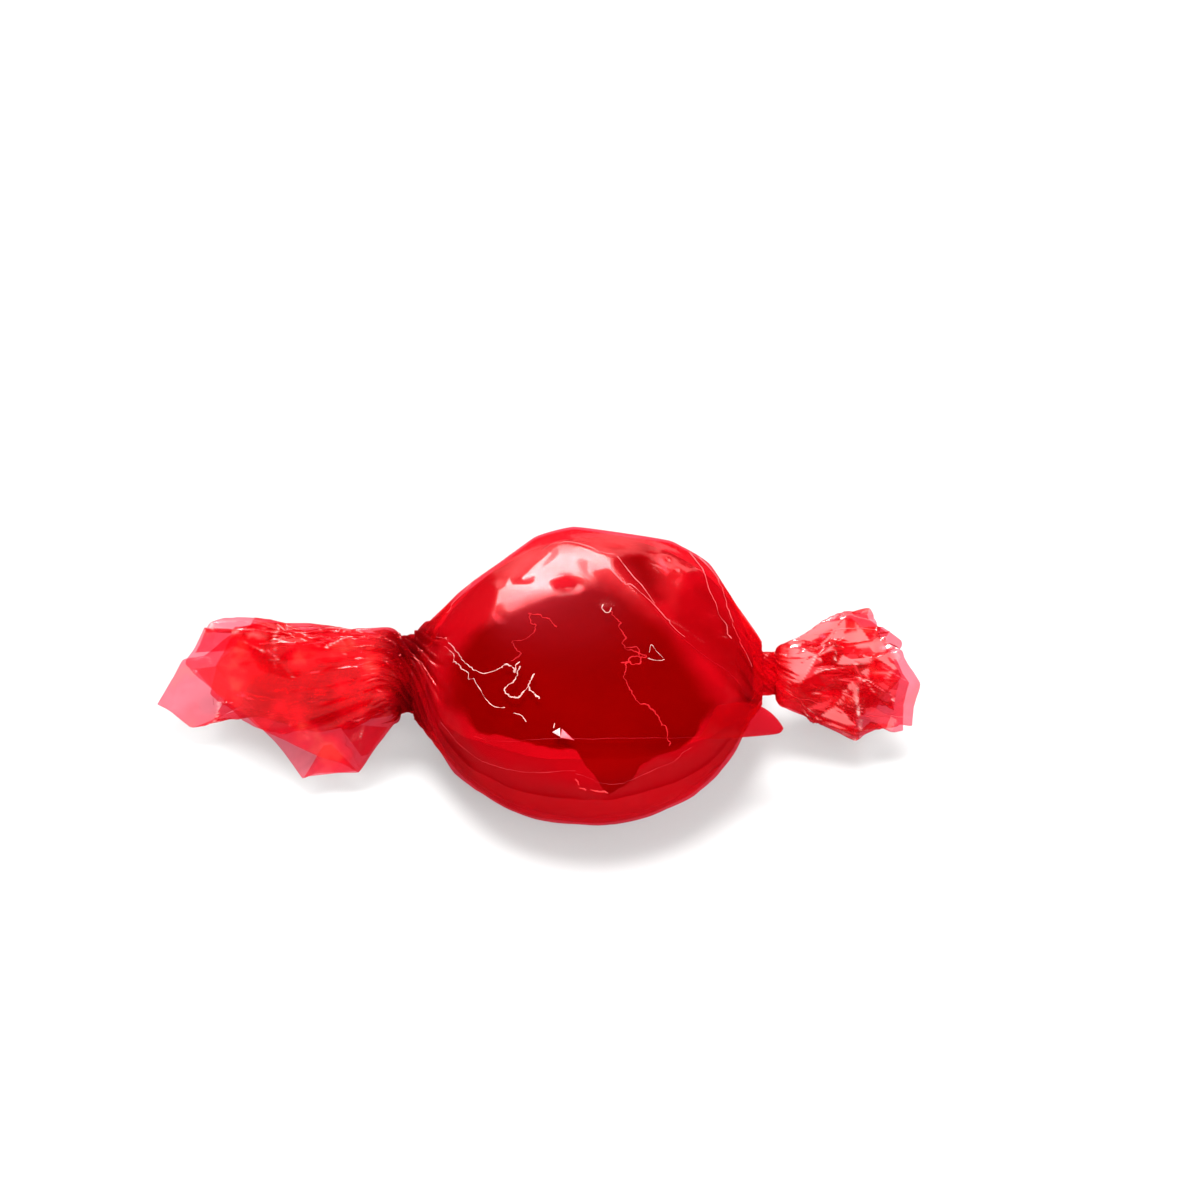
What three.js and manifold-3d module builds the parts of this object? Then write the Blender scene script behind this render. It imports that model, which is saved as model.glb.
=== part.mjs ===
// A twist-wrapped cinnamon hard candy, lying flat as it rests by itself.
// One skin follows the sheet of red film: round the button-shaped sweet, through a twisted neck on
// each side, and out into two pleated fans, whose open mouths show the film's thickness.
// Units are millimetres. X is the twist axis, +Y is the far side, +Z is up, and z = 0 is the rest plane.

import * as THREE from 'three';
import Module from 'manifold-3d';
import { mergeVertices } from 'three/addons/utils/BufferGeometryUtils.js';

// ---- driving dimensions ----

const SWEET_RADIUS = 12.15; // plan radius of the button
const SWEET_HALF_HEIGHT = 6.15; // from the button's middle to the top of its dome
const DOME_POWER = 2.8; // above 2, the dome is flatter and its shoulder fuller than an ellipse
const RIM_POWER = 2.5;
const FLAT_SIDE = { azimuth: 137, width: 38, depth: 1.2 }; // the side where the button was cast thinner
const REST_HEIGHT = 6.25; // height of the twist axis over the flat spot that the sweet lies on

const FILM_GAP = 0.2; // the film's outside over the sweet, where it is pulled tight
const FILM_SLACK = 0.75; // how far a fold of film may stand off the sweet between two tight places
const OVERLAP = { from: -95, to: 163, step: 0.22 }; // degrees round X, from +Y, that the second turn covers
const OVERLAP_FADE = [9, 12.55]; // the step dies out between these distances from the middle
const FILM_WALL = 0.34; // wall of the open fans

const NECK = { x: 13.55, length: 1.0, twist: 100, ribs: 0.16 }; // twist in degrees
const GATHERS = { from: 7.5, to: 13.15, depth: 0.07 }; // depth as a share of the film's height over the axis

// Tight panels of film on the sweet, as directions [azimuth, elevation] in degrees and extra slack in mm.
const PANELS = [
  [137, 33, 0.0],
  [79, 43, 0.1],
  [26, 23, 0.15],
  [4, 62, 0.1],
  [168, 58, 0.1],
  [100, 5, 0.2],
  [195, 20, 0.2],
  [345, 18, 0.2],
  [220, -8, 0.0],
  [255, -6, 0.1],
  [292, -6, 0.1],
  [328, -12, 0.0],
  [270, 38, 0.1],
  [235, 35, 0.1],
  [310, 42, 0.1],
  [90, -40, 0.1],
  [20, -45, 0.1],
  [160, -45, 0.1],
  [228, -40, 0.3],
  [262, -46, 0.5],
  [305, -42, 0.3],
];

// The mouth of each fan: the corners of the film's cut edge, going round, as
// [reach from the neck, back from the axis, up from the axis].
const LEFT_MOUTH = [
  [15.2, 2.2, 3.0],
  [16.8, 0.6, 0.6],
  [14.4, -1.6, -0.3],
  [11.0, -4.4, -1.2],
  [6.4, -5.9, -3.0],
  [3.6, -4.6, -5.8],
  [7.8, -4.9, -6.1],
  [12.0, -0.9, -4.7],
  [16.0, -0.3, -6.0],
  [19.2, 1.2, -4.7],
  [17.4, 3.8, -2.6],
  [13.6, 5.8, -1.8],
  [12.0, 4.4, 1.4],
];
const RIGHT_MOUTH = [
  [8.8, 1.6, 2.5],
  [10.0, 0.0, 2.0],
  [11.3, -1.3, 0.4],
  [10.9, -2.2, -1.4],
  [10.9, -2.6, -3.2],
  [7.0, -3.1, -3.5],
  [6.6, -1.0, -4.2],
  [8.6, 0.8, -4.4],
  [10.4, 2.8, -3.4],
  [9.2, 4.2, -1.8],
  [10.2, 3.8, -0.2],
  [8.4, 4.2, 1.2],
  [8.8, 3.0, 1.8],
];

// The left neck is loosely gathered and the right one tight. A puff under 1 lets the film swell out
// soon after the neck. Each pleat's depth is drawn between the two values of `pleats`.
const LEFT_FAN = {
  side: -1,
  neck: 3.0,
  mouth: LEFT_MOUTH,
  puff: 0.4,
  pleats: [0.2, 0.9],
  rings: 9,
  seed: 11,
};
const RIGHT_FAN = {
  side: 1,
  neck: 1.65,
  mouth: RIGHT_MOUTH,
  puff: 0.36,
  pleats: [0.1, 0.7],
  rings: 7,
  seed: 47,
};

// The loose corner of the outer layer, over the front right shoulder, as [x, y, z over the axis].
const FLAP = {
  outline: [
    [8.2, -8.0, 1.3],
    [8.9, -6.9, 3.4],
    [12.4, -4.5, 1.9],
    [14.5, -5.6, 0.2],
    [13.8, -6.2, 0.1],
    [11.0, -6.8, 0.4],
  ],
  thickness: 0.35,
  hinge: [8.6, -6.2, 1.6],
};

// ---- resolution ----

const COLUMNS_PER_CORNER = 4;
const COLUMNS = LEFT_MOUTH.length * COLUMNS_PER_CORNER;
const BODY_RINGS = 29;
const NECK_RINGS = 4;
const MERIDIAN_SAMPLES = 81;
const RING_SPREAD = 1.3; // above 1, a fan's rings lie closer near the neck
const REACH_STEPS = 200; // tries along the button's profile
const HALVINGS = 40; // of the span in which the film's distance is sought

const FILM_RED = '#d4101c';

// ---- the sweet and the film round it ----

const radians = (degrees) => (degrees * Math.PI) / 180;
const mix = (a, b, t) => a + (b - a) * t;

/** Plan radius of the button towards an azimuth: round, with one thinner side. */
function planRadius(azimuth) {
  const away = THREE.MathUtils.euclideanModulo(azimuth - FLAT_SIDE.azimuth + 180, 360) - 180;
  return SWEET_RADIUS - FLAT_SIDE.depth * Math.exp(-((away / FLAT_SIDE.width) ** 2));
}

/** Under 1 inside the button grown by `grow`, over 1 outside it. */
function buttonLevel(x, y, z, grow) {
  const azimuth = THREE.MathUtils.radToDeg(Math.atan2(y, x));
  const across = Math.hypot(x, y) / (planRadius(azimuth) + grow);
  const up = Math.abs(z) / (SWEET_HALF_HEIGHT + grow);
  return across ** DOME_POWER + up ** RIM_POWER;
}

/** How far the button reaches along a unit direction. */
function buttonReach(direction) {
  const level = Math.hypot(direction.x, direction.y);
  const radius = planRadius(THREE.MathUtils.radToDeg(Math.atan2(direction.y, direction.x)));
  let reach = 0;
  for (let step = 0; step <= REACH_STEPS; step++) {
    const share = step / REACH_STEPS;
    const height = SWEET_HALF_HEIGHT * (1 - share ** DOME_POWER) ** (1 / RIM_POWER);
    reach = Math.max(reach, level * radius * share + Math.abs(direction.z) * height);
  }
  return reach;
}

const panels = PANELS.map(([azimuth, elevation, slack]) => {
  const flat = Math.cos(radians(elevation));
  const normal = new THREE.Vector3(
    flat * Math.cos(radians(azimuth)),
    flat * Math.sin(radians(azimuth)),
    Math.sin(radians(elevation)),
  );
  return { normal, distance: buttonReach(normal) + FILM_GAP + slack };
});

/** Distance from the twist axis, at x and towards an angle round it, to the film that lies on the sweet. */
function wrapRadius(x, angle) {
  const across = Math.cos(angle);
  const up = Math.sin(angle);
  let inside = 0;
  let outside = SWEET_RADIUS + FILM_SLACK + 1;
  for (let step = 0; step < HALVINGS; step++) {
    const middle = (inside + outside) / 2;
    const isInside = buttonLevel(x, middle * across, middle * up, FILM_GAP + FILM_SLACK) < 1;
    inside = isInside ? middle : inside;
    outside = isInside ? outside : middle;
  }
  let radius = inside;
  for (const { normal, distance } of panels) {
    const slope = normal.y * across + normal.z * up;
    const limit = slope > 0 ? (distance - normal.x * x) / slope : Infinity;
    radius = Math.min(radius, Math.max(limit, 0));
  }
  return up < 0 ? Math.min(radius, REST_HEIGHT / -up) : radius;
}

/** The upper hull of points sorted by x: the line a taut film takes over them. */
function tautLine(points) {
  const hull = [];
  for (const point of points) {
    while (hull.length > 1) {
      const [a, b] = hull.slice(-2);
      const turn = (b.x - a.x) * (point.y - a.y) - (b.y - a.y) * (point.x - a.x);
      if (turn < 0) break;
      hull.pop();
    }
    hull.push(point);
  }
  return hull;
}

/** The film's height over the axis along one line from neck to neck, as a function of x. */
function filmMeridian(angle) {
  const points = [new THREE.Vector2(-NECK.x, LEFT_FAN.neck)];
  for (let i = 1; i < MERIDIAN_SAMPLES; i++) {
    const x = mix(-SWEET_RADIUS, SWEET_RADIUS, i / MERIDIAN_SAMPLES);
    points.push(new THREE.Vector2(x, wrapRadius(x, angle)));
  }
  points.push(new THREE.Vector2(NECK.x, RIGHT_FAN.neck));
  const hull = tautLine(points);
  return (x) => {
    const next = hull.findIndex((point, i) => i > 0 && point.x >= x);
    const a = hull[next - 1];
    const b = hull[next];
    return mix(a.y, b.y, (x - a.x) / (b.x - a.x));
  };
}

/** Gathers that run from the neck over the sweet's end and die out towards its middle. */
function gather(x, column) {
  const nearNeck = THREE.MathUtils.smoothstep(Math.abs(x), GATHERS.from, GATHERS.to);
  const wave = Math.cos((Math.PI * 2 * column) / COLUMNS_PER_CORNER);
  return 1 - GATHERS.depth * nearNeck * (1 - wave);
}

const columnAngle = (column) => (Math.PI * 2 * column) / COLUMNS;
const meridians = Array.from({ length: COLUMNS }, (_, column) => filmMeridian(columnAngle(column)));

function isDoubled(angle) {
  const from = radians(OVERLAP.from);
  const span = radians(OVERLAP.to - OVERLAP.from);
  return THREE.MathUtils.euclideanModulo(angle - from, Math.PI * 2) < span;
}

/** One ring of the skin round the sweet. */
function bodyRing(x) {
  return meridians.map((height, column) => {
    const angle = columnAngle(column);
    const nearMiddle = 1 - THREE.MathUtils.smoothstep(Math.abs(x), ...OVERLAP_FADE);
    const second = isDoubled(angle) ? OVERLAP.step * nearMiddle : 0;
    const radius = height(x) * gather(x, column) + second;
    const up = Math.max(radius * Math.sin(angle), -REST_HEIGHT);
    return new THREE.Vector3(x, radius * Math.cos(angle), up);
  });
}

/** One ring of a neck, at a share of its length outwards: a ribbed rope that turns as it goes. */
function neckRing({ side, neck }, share) {
  const x = side * (NECK.x + NECK.length * (share - 0.5));
  return Array.from({ length: COLUMNS }, (_, column) => {
    const angle = columnAngle(column) + side * radians(NECK.twist) * share;
    const rib = Math.cos((Math.PI * 2 * column) / COLUMNS_PER_CORNER);
    const radius = neck + NECK.ribs * (rib - 0.5);
    return new THREE.Vector3(x, radius * Math.cos(angle), radius * Math.sin(angle));
  });
}

// ---- the fans ----

const angleRound = (point, middle) => Math.atan2(point.z - middle.z, point.y - middle.y);

/** The mouth's outline, one point for each column: its corners, with a pleat between every two. */
function mouthOutline({ side, mouth, pleats, seed }, middle) {
  const corners = mouth.map(([reach, back, up]) => new THREE.Vector3(side * (NECK.x + reach), back, up));
  corners.forEach((corner) => middle.addScaledVector(corner, 1 / corners.length));
  return corners.flatMap((corner, i) => {
    const next = corners[(i + 1) % corners.length];
    const depth = mix(...pleats, THREE.MathUtils.seededRandom(seed + i));
    return Array.from({ length: COLUMNS_PER_CORNER }, (_, step) => {
      const share = step / COLUMNS_PER_CORNER;
      const point = corner.clone().lerp(next, share);
      const inwards = middle.clone().sub(point).setX(0).normalize();
      return point.addScaledVector(inwards, depth * Math.sin(Math.PI * share) ** 2);
    });
  });
}

/** The outline's points, starting from the one that faces the neck's first column. */
function startFacing(angle, outline, middle) {
  const misses = outline.map((point) => Math.abs(Math.sin((angleRound(point, middle) - angle) / 2)));
  const start = misses.indexOf(Math.min(...misses));
  return [...outline.slice(start), ...outline.slice(0, start)];
}

/** The fan's rings, outside from the neck to the mouth and then inside, back to the bottom of its cup. */
function fanRings(fan) {
  const root = neckRing(fan, 1);
  const rootMiddle = new THREE.Vector3(root[0].x, 0, 0);
  const mouthMiddle = new THREE.Vector3();
  const outline = mouthOutline(fan, mouthMiddle);
  const mouth = startFacing(angleRound(root[0], rootMiddle), outline, mouthMiddle);
  const place = (column, share, wall) => {
    const middle = rootMiddle.clone().lerp(mouthMiddle, share);
    const offset = mouth[column].clone().sub(mouthMiddle);
    offset.lerp(root[column].clone().sub(rootMiddle), 1 - share ** fan.puff);
    const point = middle.clone().add(offset);
    point.x = mix(root[column].x, mouth[column].x, share);
    const inwards = middle.sub(point).setX(0);
    const depth = Math.min(wall, inwards.length());
    return point.addScaledVector(inwards.normalize(), depth);
  };
  const ring = (share, wall) => root.map((_, column) => place(column, share, wall));
  const shares = Array.from({ length: fan.rings }, (_, i) => ((i + 1) / fan.rings) ** RING_SPREAD);
  const outside = shares.map((share) => ring(share, 0));
  const inside = shares.slice(1).reverse().map((share) => ring(share, FILM_WALL));
  return [...outside, ...inside];
}

// ---- solids ----

/** A closed skin over a list of rings, with a point to close each end. */
function skin(rings) {
  const count = rings[0].length;
  const middleOf = (ring) => {
    const middle = new THREE.Vector3();
    ring.forEach((point) => middle.addScaledVector(point, 1 / count));
    return middle;
  };
  const points = [...rings.flat(), middleOf(rings[0]), middleOf(rings.at(-1))];
  const first = points.length - 2;
  const last = points.length - 1;
  const index = [];
  for (let row = 0; row < rings.length - 1; row++) {
    for (let column = 0; column < count; column++) {
      const next = (column + 1) % count;
      const a = row * count + column;
      const b = row * count + next;
      index.push(a, b, a + count, b, b + count, a + count);
    }
  }
  const lastRow = (rings.length - 1) * count;
  for (let column = 0; column < count; column++) {
    const next = (column + 1) % count;
    index.push(first, next, column);
    index.push(last, lastRow + column, lastRow + next);
  }
  const geometry = new THREE.BufferGeometry().setFromPoints(points);
  geometry.setIndex(index);
  return geometry;
}

/** A thin plate over a fan of corners, with the same triangles on both faces. */
function plate({ outline, hinge, thickness }) {
  const corners = [hinge, ...outline].map((corner) => new THREE.Vector3(...corner));
  const normal = new THREE.Vector3();
  const edge = (i) => corners[i].clone().sub(corners[0]);
  for (let i = 1; i < outline.length; i++) normal.add(edge(i).cross(edge(i + 1)));
  normal.normalize().multiplyScalar(thickness / 2);
  const front = corners.map((corner) => corner.clone().add(normal));
  const back = corners.map((corner) => corner.clone().sub(normal));
  const count = corners.length;
  const index = [];
  for (let i = 0; i < count; i++) {
    const next = (i + 1) % count;
    index.push(i, i + count, next, next, i + count, next + count);
  }
  for (let i = 1; i < count - 1; i++) {
    index.push(0, i, i + 1);
    index.push(count, count + i + 1, count + i);
  }
  const geometry = new THREE.BufferGeometry().setFromPoints([...front, ...back]);
  geometry.setIndex(index);
  return geometry;
}

const wasm = await Module();
wasm.setup();

function toSolid(geometry) {
  const merged = mergeVertices(geometry, 1e-4);
  const vertProperties = new Float32Array(merged.attributes.position.array);
  const triVerts = new Uint32Array(merged.index.array);
  return new wasm.Manifold(new wasm.Mesh({ numProp: 3, vertProperties, triVerts }));
}

function toGeometry(solid) {
  const { vertProperties, triVerts } = solid.getMesh();
  const geometry = new THREE.BufferGeometry();
  geometry.setAttribute('position', new THREE.BufferAttribute(vertProperties, 3));
  geometry.setIndex(new THREE.BufferAttribute(triVerts, 1));
  return geometry;
}

// ---- the part ----

/** The skin's rings over the sweet, closer together towards its ends. */
function sweetRings() {
  const end = NECK.x - NECK.length / 2;
  return Array.from({ length: BODY_RINGS }, (_, i) => {
    const share = mix(-1, 1, (i + 0.5) / BODY_RINGS);
    return bodyRing(end * Math.sin((Math.PI / 2) * share));
  });
}

/** A fan and its neck, from the sweet outwards. */
function gatheredEnd(fan) {
  const neck = Array.from({ length: NECK_RINGS }, (_, i) => neckRing(fan, i / (NECK_RINGS - 1)));
  return [...neck, ...fanRings(fan)];
}

const rings = [...gatheredEnd(LEFT_FAN).reverse(), ...sweetRings(), ...gatheredEnd(RIGHT_FAN)];
const wrapped = toSolid(skin(rings)).add(toSolid(plate(FLAP)));
const film = new THREE.MeshStandardMaterial({ color: FILM_RED, roughness: 0.12, metalness: 0 });

const sweet = new THREE.Mesh(toGeometry(wrapped), film);
sweet.name = 'wrapped_sweet';
sweet.position.z = REST_HEIGHT;

const group = new THREE.Group();
group.add(sweet);

export default group;
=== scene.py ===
# %% [markdown]
# # A cinnamon candy in its twist of red film
#
# The real thing is two pieces: a button of boiled sugar, and one sheet of clear red film that is
# rolled nearly twice round it and twisted at both ends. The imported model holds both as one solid,
# so here that solid is replaced by a candy, and by the film in the turns that a hand gives it.

import math

import bpy
import numpy as np
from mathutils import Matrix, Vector
from mathutils.bvhtree import BVHTree
from mathutils.geometry import delaunay_2d_cdt


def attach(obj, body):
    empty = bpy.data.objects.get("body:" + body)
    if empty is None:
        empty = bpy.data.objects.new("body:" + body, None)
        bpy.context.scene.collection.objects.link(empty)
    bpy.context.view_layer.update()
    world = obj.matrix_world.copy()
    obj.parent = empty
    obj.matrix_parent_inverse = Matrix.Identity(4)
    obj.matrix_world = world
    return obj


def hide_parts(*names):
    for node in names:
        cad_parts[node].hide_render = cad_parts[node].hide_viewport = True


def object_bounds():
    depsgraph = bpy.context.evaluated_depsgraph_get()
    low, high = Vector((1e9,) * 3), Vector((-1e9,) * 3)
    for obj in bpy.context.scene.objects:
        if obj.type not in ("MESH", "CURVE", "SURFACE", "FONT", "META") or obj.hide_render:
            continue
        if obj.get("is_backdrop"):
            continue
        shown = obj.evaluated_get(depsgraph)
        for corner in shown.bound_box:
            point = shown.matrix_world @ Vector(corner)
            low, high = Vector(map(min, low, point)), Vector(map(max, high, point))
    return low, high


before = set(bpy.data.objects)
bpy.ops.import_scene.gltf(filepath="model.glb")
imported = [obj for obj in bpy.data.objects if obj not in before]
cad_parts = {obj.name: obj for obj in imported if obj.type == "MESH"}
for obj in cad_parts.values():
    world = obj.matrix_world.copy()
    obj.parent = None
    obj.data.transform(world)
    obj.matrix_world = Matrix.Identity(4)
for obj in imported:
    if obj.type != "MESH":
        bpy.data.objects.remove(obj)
cad_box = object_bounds()
MM = 0.001
print("packed nodes:", sorted(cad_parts))

# %% [markdown]
# ## Camera
#
# Everything is seen through the camera, so it comes first. The outline of the body in the
# photograph is 0.87 as tall as it is wide, which a button of this thickness shows when it is seen from
# about 46 degrees above the level. A long lens from a quarter of a metre keeps the perspective mild.

# %% Place the camera
CANDY_CENTRE = Vector((0, 0, 6.25)) * MM
CAMERA_ELEVATION = math.radians(46)
CAMERA_DISTANCE = 280 * MM
PIXELS_PER_MM = 13.3
PHOTO_WIDTH = 1200
CANDY_PIXEL = (588, 674)
SENSOR_WIDTH = 36


def place_camera():
    """Look down on the candy, which lies left of and below the picture's middle."""
    back = Vector((0, -math.cos(CAMERA_ELEVATION), math.sin(CAMERA_ELEVATION)))
    right = Vector((1, 0, 0))
    up = back.cross(right)
    aside = (PHOTO_WIDTH / 2 - CANDY_PIXEL[0]) / PIXELS_PER_MM * MM
    above = (CANDY_PIXEL[1] - PHOTO_WIDTH / 2) / PIXELS_PER_MM * MM
    aim = CANDY_CENTRE + right * aside + up * above
    lens = bpy.data.cameras.new("camera")
    lens.sensor_width = SENSOR_WIDTH
    picture_width = PHOTO_WIDTH / PIXELS_PER_MM * MM
    lens.lens = SENSOR_WIDTH * CAMERA_DISTANCE / picture_width
    lens.clip_start = 0.01
    camera = bpy.data.objects.new("camera", lens)
    camera.location = aim + back * CAMERA_DISTANCE
    camera.rotation_euler = back.to_track_quat("Z", "Y").to_euler()
    bpy.context.collection.objects.link(camera)
    bpy.context.scene.camera = camera
    return lens.lens


print("lens, mm:", round(place_camera(), 1))

# %% [markdown]
# ## Floor and light
#
# The photograph is a product picture on white. A high soft light, a little behind on the left,
# throws a short grey shadow towards the viewer's right. A bright square light and a dim one beside
# it, low behind, are there only for the glare on the dome. The floor glows a little, like a light
# table, so its shadows stay light and grey. The world is white where the camera sees it. Where the
# film would mirror it, it is dark but for a pale wall low behind, as black cards over and beside a
# real set keep the red deep.

# %% Helpers for node trees
def new_material(name):
    """A node material with its output node."""
    material = bpy.data.materials.new(name)
    material.use_nodes = True
    material.node_tree.nodes.clear()
    material.node_tree.nodes.new("ShaderNodeOutputMaterial")
    return material, material.node_tree


def node(tree, kind, properties=None, **values):
    """Add a node; values go to the sockets of those names, as numbers or as links from other nodes."""
    made = tree.nodes.new(kind)
    for key, value in (properties or {}).items():
        setattr(made, key, value)
    for key, value in values.items():
        name = key.replace("_", " ").lower()
        feed(tree, next(s for s in made.inputs if s.name.lower() == name and s.enabled), value)
    return made


def feed(tree, socket, value):
    """Link a socket to another node's output, or set its constant."""
    if isinstance(value, bpy.types.NodeSocket):
        tree.links.new(value, socket)
    else:
        socket.default_value = value


def calc(tree, operation, *values):
    """A math node over numbers and sockets."""
    made = tree.nodes.new("ShaderNodeMath")
    made.operation = operation
    for socket, value in zip(made.inputs, values):
        feed(tree, socket, value)
    return made.outputs[0]


def blend_shaders(tree, share, first, second):
    """Mix two shaders; a share of 1 is all second."""
    mixed = tree.nodes.new("ShaderNodeMixShader")
    for socket, value in zip(mixed.inputs, (share, first, second)):
        feed(tree, socket, value)
    return mixed.outputs[0]


def smooth_between(tree, value, low, high):
    """0 below low, 1 above high, and smooth between, as nodes."""
    made = node(tree, "ShaderNodeMapRange", {"interpolation_type": "SMOOTHSTEP"})
    for name, number in (("Value", value), ("From Min", low), ("From Max", high)):
        feed(tree, made.inputs[name], number)
    return made.outputs[0]


# %% Make the floor
FLOOR_SIZE = 4.0
FLOOR_WHITE, FLOOR_GLOW, FLOOR_MIRRORED = 0.36, 0.3, 0.08


def grey(value):
    """A grey as a colour with alpha."""
    return (value, value, value, 1)


def make_floor():
    """A wide plain floor that the candy lies on; a mirror image of it is darker."""
    mesh = bpy.data.meshes.new("floor")
    half = FLOOR_SIZE / 2
    corners = [(-half, -half, 0), (half, -half, 0), (half, half, 0), (-half, half, 0)]
    mesh.from_pydata(corners, [], [(0, 1, 2, 3)])
    floor = bpy.data.objects.new("floor", mesh)
    bpy.context.collection.objects.link(floor)
    material, tree = new_material("floor_white")
    matt = node(tree, "ShaderNodeBsdfDiffuse", color=grey(FLOOR_WHITE))
    glow = node(tree, "ShaderNodeEmission", strength=FLOOR_GLOW)
    white = tree.nodes.new("ShaderNodeAddShader")
    for socket, part in zip(white.inputs, (matt, glow)):
        feed(tree, socket, part.outputs[0])
    dark = node(tree, "ShaderNodeBsdfDiffuse", color=grey(FLOOR_MIRRORED))
    mirrored = node(tree, "ShaderNodeLightPath").outputs["Is Glossy Ray"]
    surface = blend_shaders(tree, mirrored, white.outputs[0], dark.outputs[0])
    tree.links.new(surface, tree.nodes["Material Output"].inputs[0])
    mesh.materials.append(material)
    floor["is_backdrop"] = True


make_floor()

# %% Set the lights
def towards(azimuth, elevation):
    """The unit direction at an azimuth and an elevation in degrees."""
    az, el = math.radians(azimuth), math.radians(elevation)
    return (math.cos(el) * math.cos(az), math.cos(el) * math.sin(az), math.sin(el))


def add_glare(name, azimuth, elevation, distance, size, watts):
    """A soft light that faces the candy and shows only as its mirror image."""
    lamp = bpy.data.lights.new(name, "AREA")
    lamp.shape = "RECTANGLE"
    lamp.size, lamp.size_y = size
    lamp.energy = watts
    light = bpy.data.objects.new(name, lamp)
    away = Vector(towards(azimuth, elevation))
    light.location = CANDY_CENTRE + away * distance
    light.rotation_euler = away.to_track_quat("Z", "Y").to_euler()
    light.visible_diffuse = False
    bpy.context.collection.objects.link(light)


def add_sky(name, azimuth, elevation, spread, strength):
    """One very wide soft light from afar; the film doesn't mirror it."""
    lamp = bpy.data.lights.new(name, "SUN")
    lamp.angle = math.radians(spread)
    lamp.energy = strength
    lamp.cycles.use_multiple_importance_sampling = False
    light = bpy.data.objects.new(name, lamp)
    away = Vector(towards(azimuth, elevation))
    light.rotation_euler = away.to_track_quat("Z", "Y").to_euler()
    light.visible_glossy = False
    bpy.context.collection.objects.link(light)


add_glare("glare", 101.5, 33, 0.42, (0.11, 0.15), 2.5)
add_glare("dim_glare", 89.5, 33, 0.42, (0.065, 0.15), 0.35)
add_sky("sky", 126, 80, 22, 4.8)
add_sky("ceiling", 0, 90, 120, 1.2)
add_sky("front_fill", -70, 32, 60, 3.6)

# %% Make the world
WORLD_LIGHT, WORLD_SEEN = 0.1, 1.0
# the pale wall that the film mirrors, in degrees
WALL_AZIMUTH, WALL_HALF_WIDTH, WALL_FOOT, WALL_HEAD, WALL_BLUR = 86, 18, -16, 14, 9
WALL_LIGHT = 6.5


def cos_of(degrees):
    """The cosine of an angle in degrees."""
    return math.cos(math.radians(degrees))


def sin_of(degrees):
    """The sine of an angle in degrees."""
    return math.sin(math.radians(degrees))


def wall_behind(tree):
    """How bright the film sees each direction: a pale wall low behind, and darkness."""
    direction = node(tree, "ShaderNodeTexCoord").outputs["Generated"]
    x, y, z = node(tree, "ShaderNodeSeparateXYZ", vector=direction).outputs
    level = calc(tree, "SQRT", calc(tree, "MULTIPLY_ADD", x, x, calc(tree, "MULTIPLY", y, y)))
    sideways = calc(tree, "MULTIPLY", y, sin_of(WALL_AZIMUTH))
    ahead = calc(tree, "MULTIPLY_ADD", x, cos_of(WALL_AZIMUTH), sideways)
    facing = calc(tree, "DIVIDE", ahead, level)
    edges = [
        (facing, cos_of(WALL_HALF_WIDTH + WALL_BLUR), cos_of(WALL_HALF_WIDTH)),
        (z, sin_of(WALL_FOOT - WALL_BLUR), sin_of(WALL_FOOT)),
        (z, sin_of(WALL_HEAD + WALL_BLUR), sin_of(WALL_HEAD)),
    ]
    light = WALL_LIGHT
    for value, outside, inside in edges:
        light = calc(tree, "MULTIPLY", smooth_between(tree, value, outside, inside), light)
    return light


def make_world():
    """White for the camera, a little light for the surfaces, and a wall for the mirror image."""
    world = bpy.data.worlds.new("white_set")
    bpy.context.scene.world = world
    world.use_nodes = True
    tree = world.node_tree
    tree.nodes.clear()
    path = node(tree, "ShaderNodeLightPath")
    lit = node(tree, "ShaderNodeBackground", strength=WORLD_LIGHT).outputs[0]
    mirrored = node(tree, "ShaderNodeBackground", strength=wall_behind(tree)).outputs[0]
    seen = node(tree, "ShaderNodeBackground", strength=WORLD_SEEN).outputs[0]
    unseen = blend_shaders(tree, path.outputs["Is Glossy Ray"], lit, mirrored)
    shown = blend_shaders(tree, path.outputs["Is Camera Ray"], unseen, seen)
    output = tree.nodes.new("ShaderNodeOutputWorld")
    tree.links.new(shown, output.inputs[0])


make_world()
bpy.context.scene.view_settings.view_transform = "Standard"
bpy.context.scene.cycles.transparent_max_bounces = 48
bpy.context.scene.cycles.max_bounces = 12
bpy.context.scene.cycles.use_denoising = True

# %% [markdown]
# ## The candy
#
# Boiled sugar is pressed into a button: a disc with a domed top and bottom and a full, round
# shoulder. A sphere scaled flat would have a thin rim, so the shape follows a rule with two powers
# instead: (across / radius) ** 2.8 + (up / half height) ** 2.5 = 1. Geometry Nodes suit a rule: a grid
# gives the two angles, and Set Position bends it into the button.

# %% Sizes shared by the candy and its film, in millimetres
SWEET_RADIUS = 12.45
SWEET_HALF_HEIGHT = 6.2
DOME_POWER = 2.8
RIM_POWER = 2.5
FLAT_SIDE_AZIMUTH, FLAT_SIDE_WIDTH, FLAT_SIDE_DEPTH = 137, 38, 1.2
REST_HEIGHT = 6.25

# %% Helpers for Geometry Nodes
def start_rule(name, sizes):
    """A new tree that takes a mesh and named sizes; also the sizes' identifiers and outputs."""
    tree = bpy.data.node_groups.new(name, "GeometryNodeTree")
    for way in ("INPUT", "OUTPUT"):
        tree.interface.new_socket("Geometry", in_out=way, socket_type="NodeSocketGeometry")
    keys = {}
    for size_name, value in sizes.items():
        socket = tree.interface.new_socket(size_name, in_out="INPUT", socket_type="NodeSocketFloat")
        socket.default_value = value
        keys[size_name] = socket.identifier
    return tree, keys, tree.nodes.new("NodeGroupInput").outputs


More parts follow.
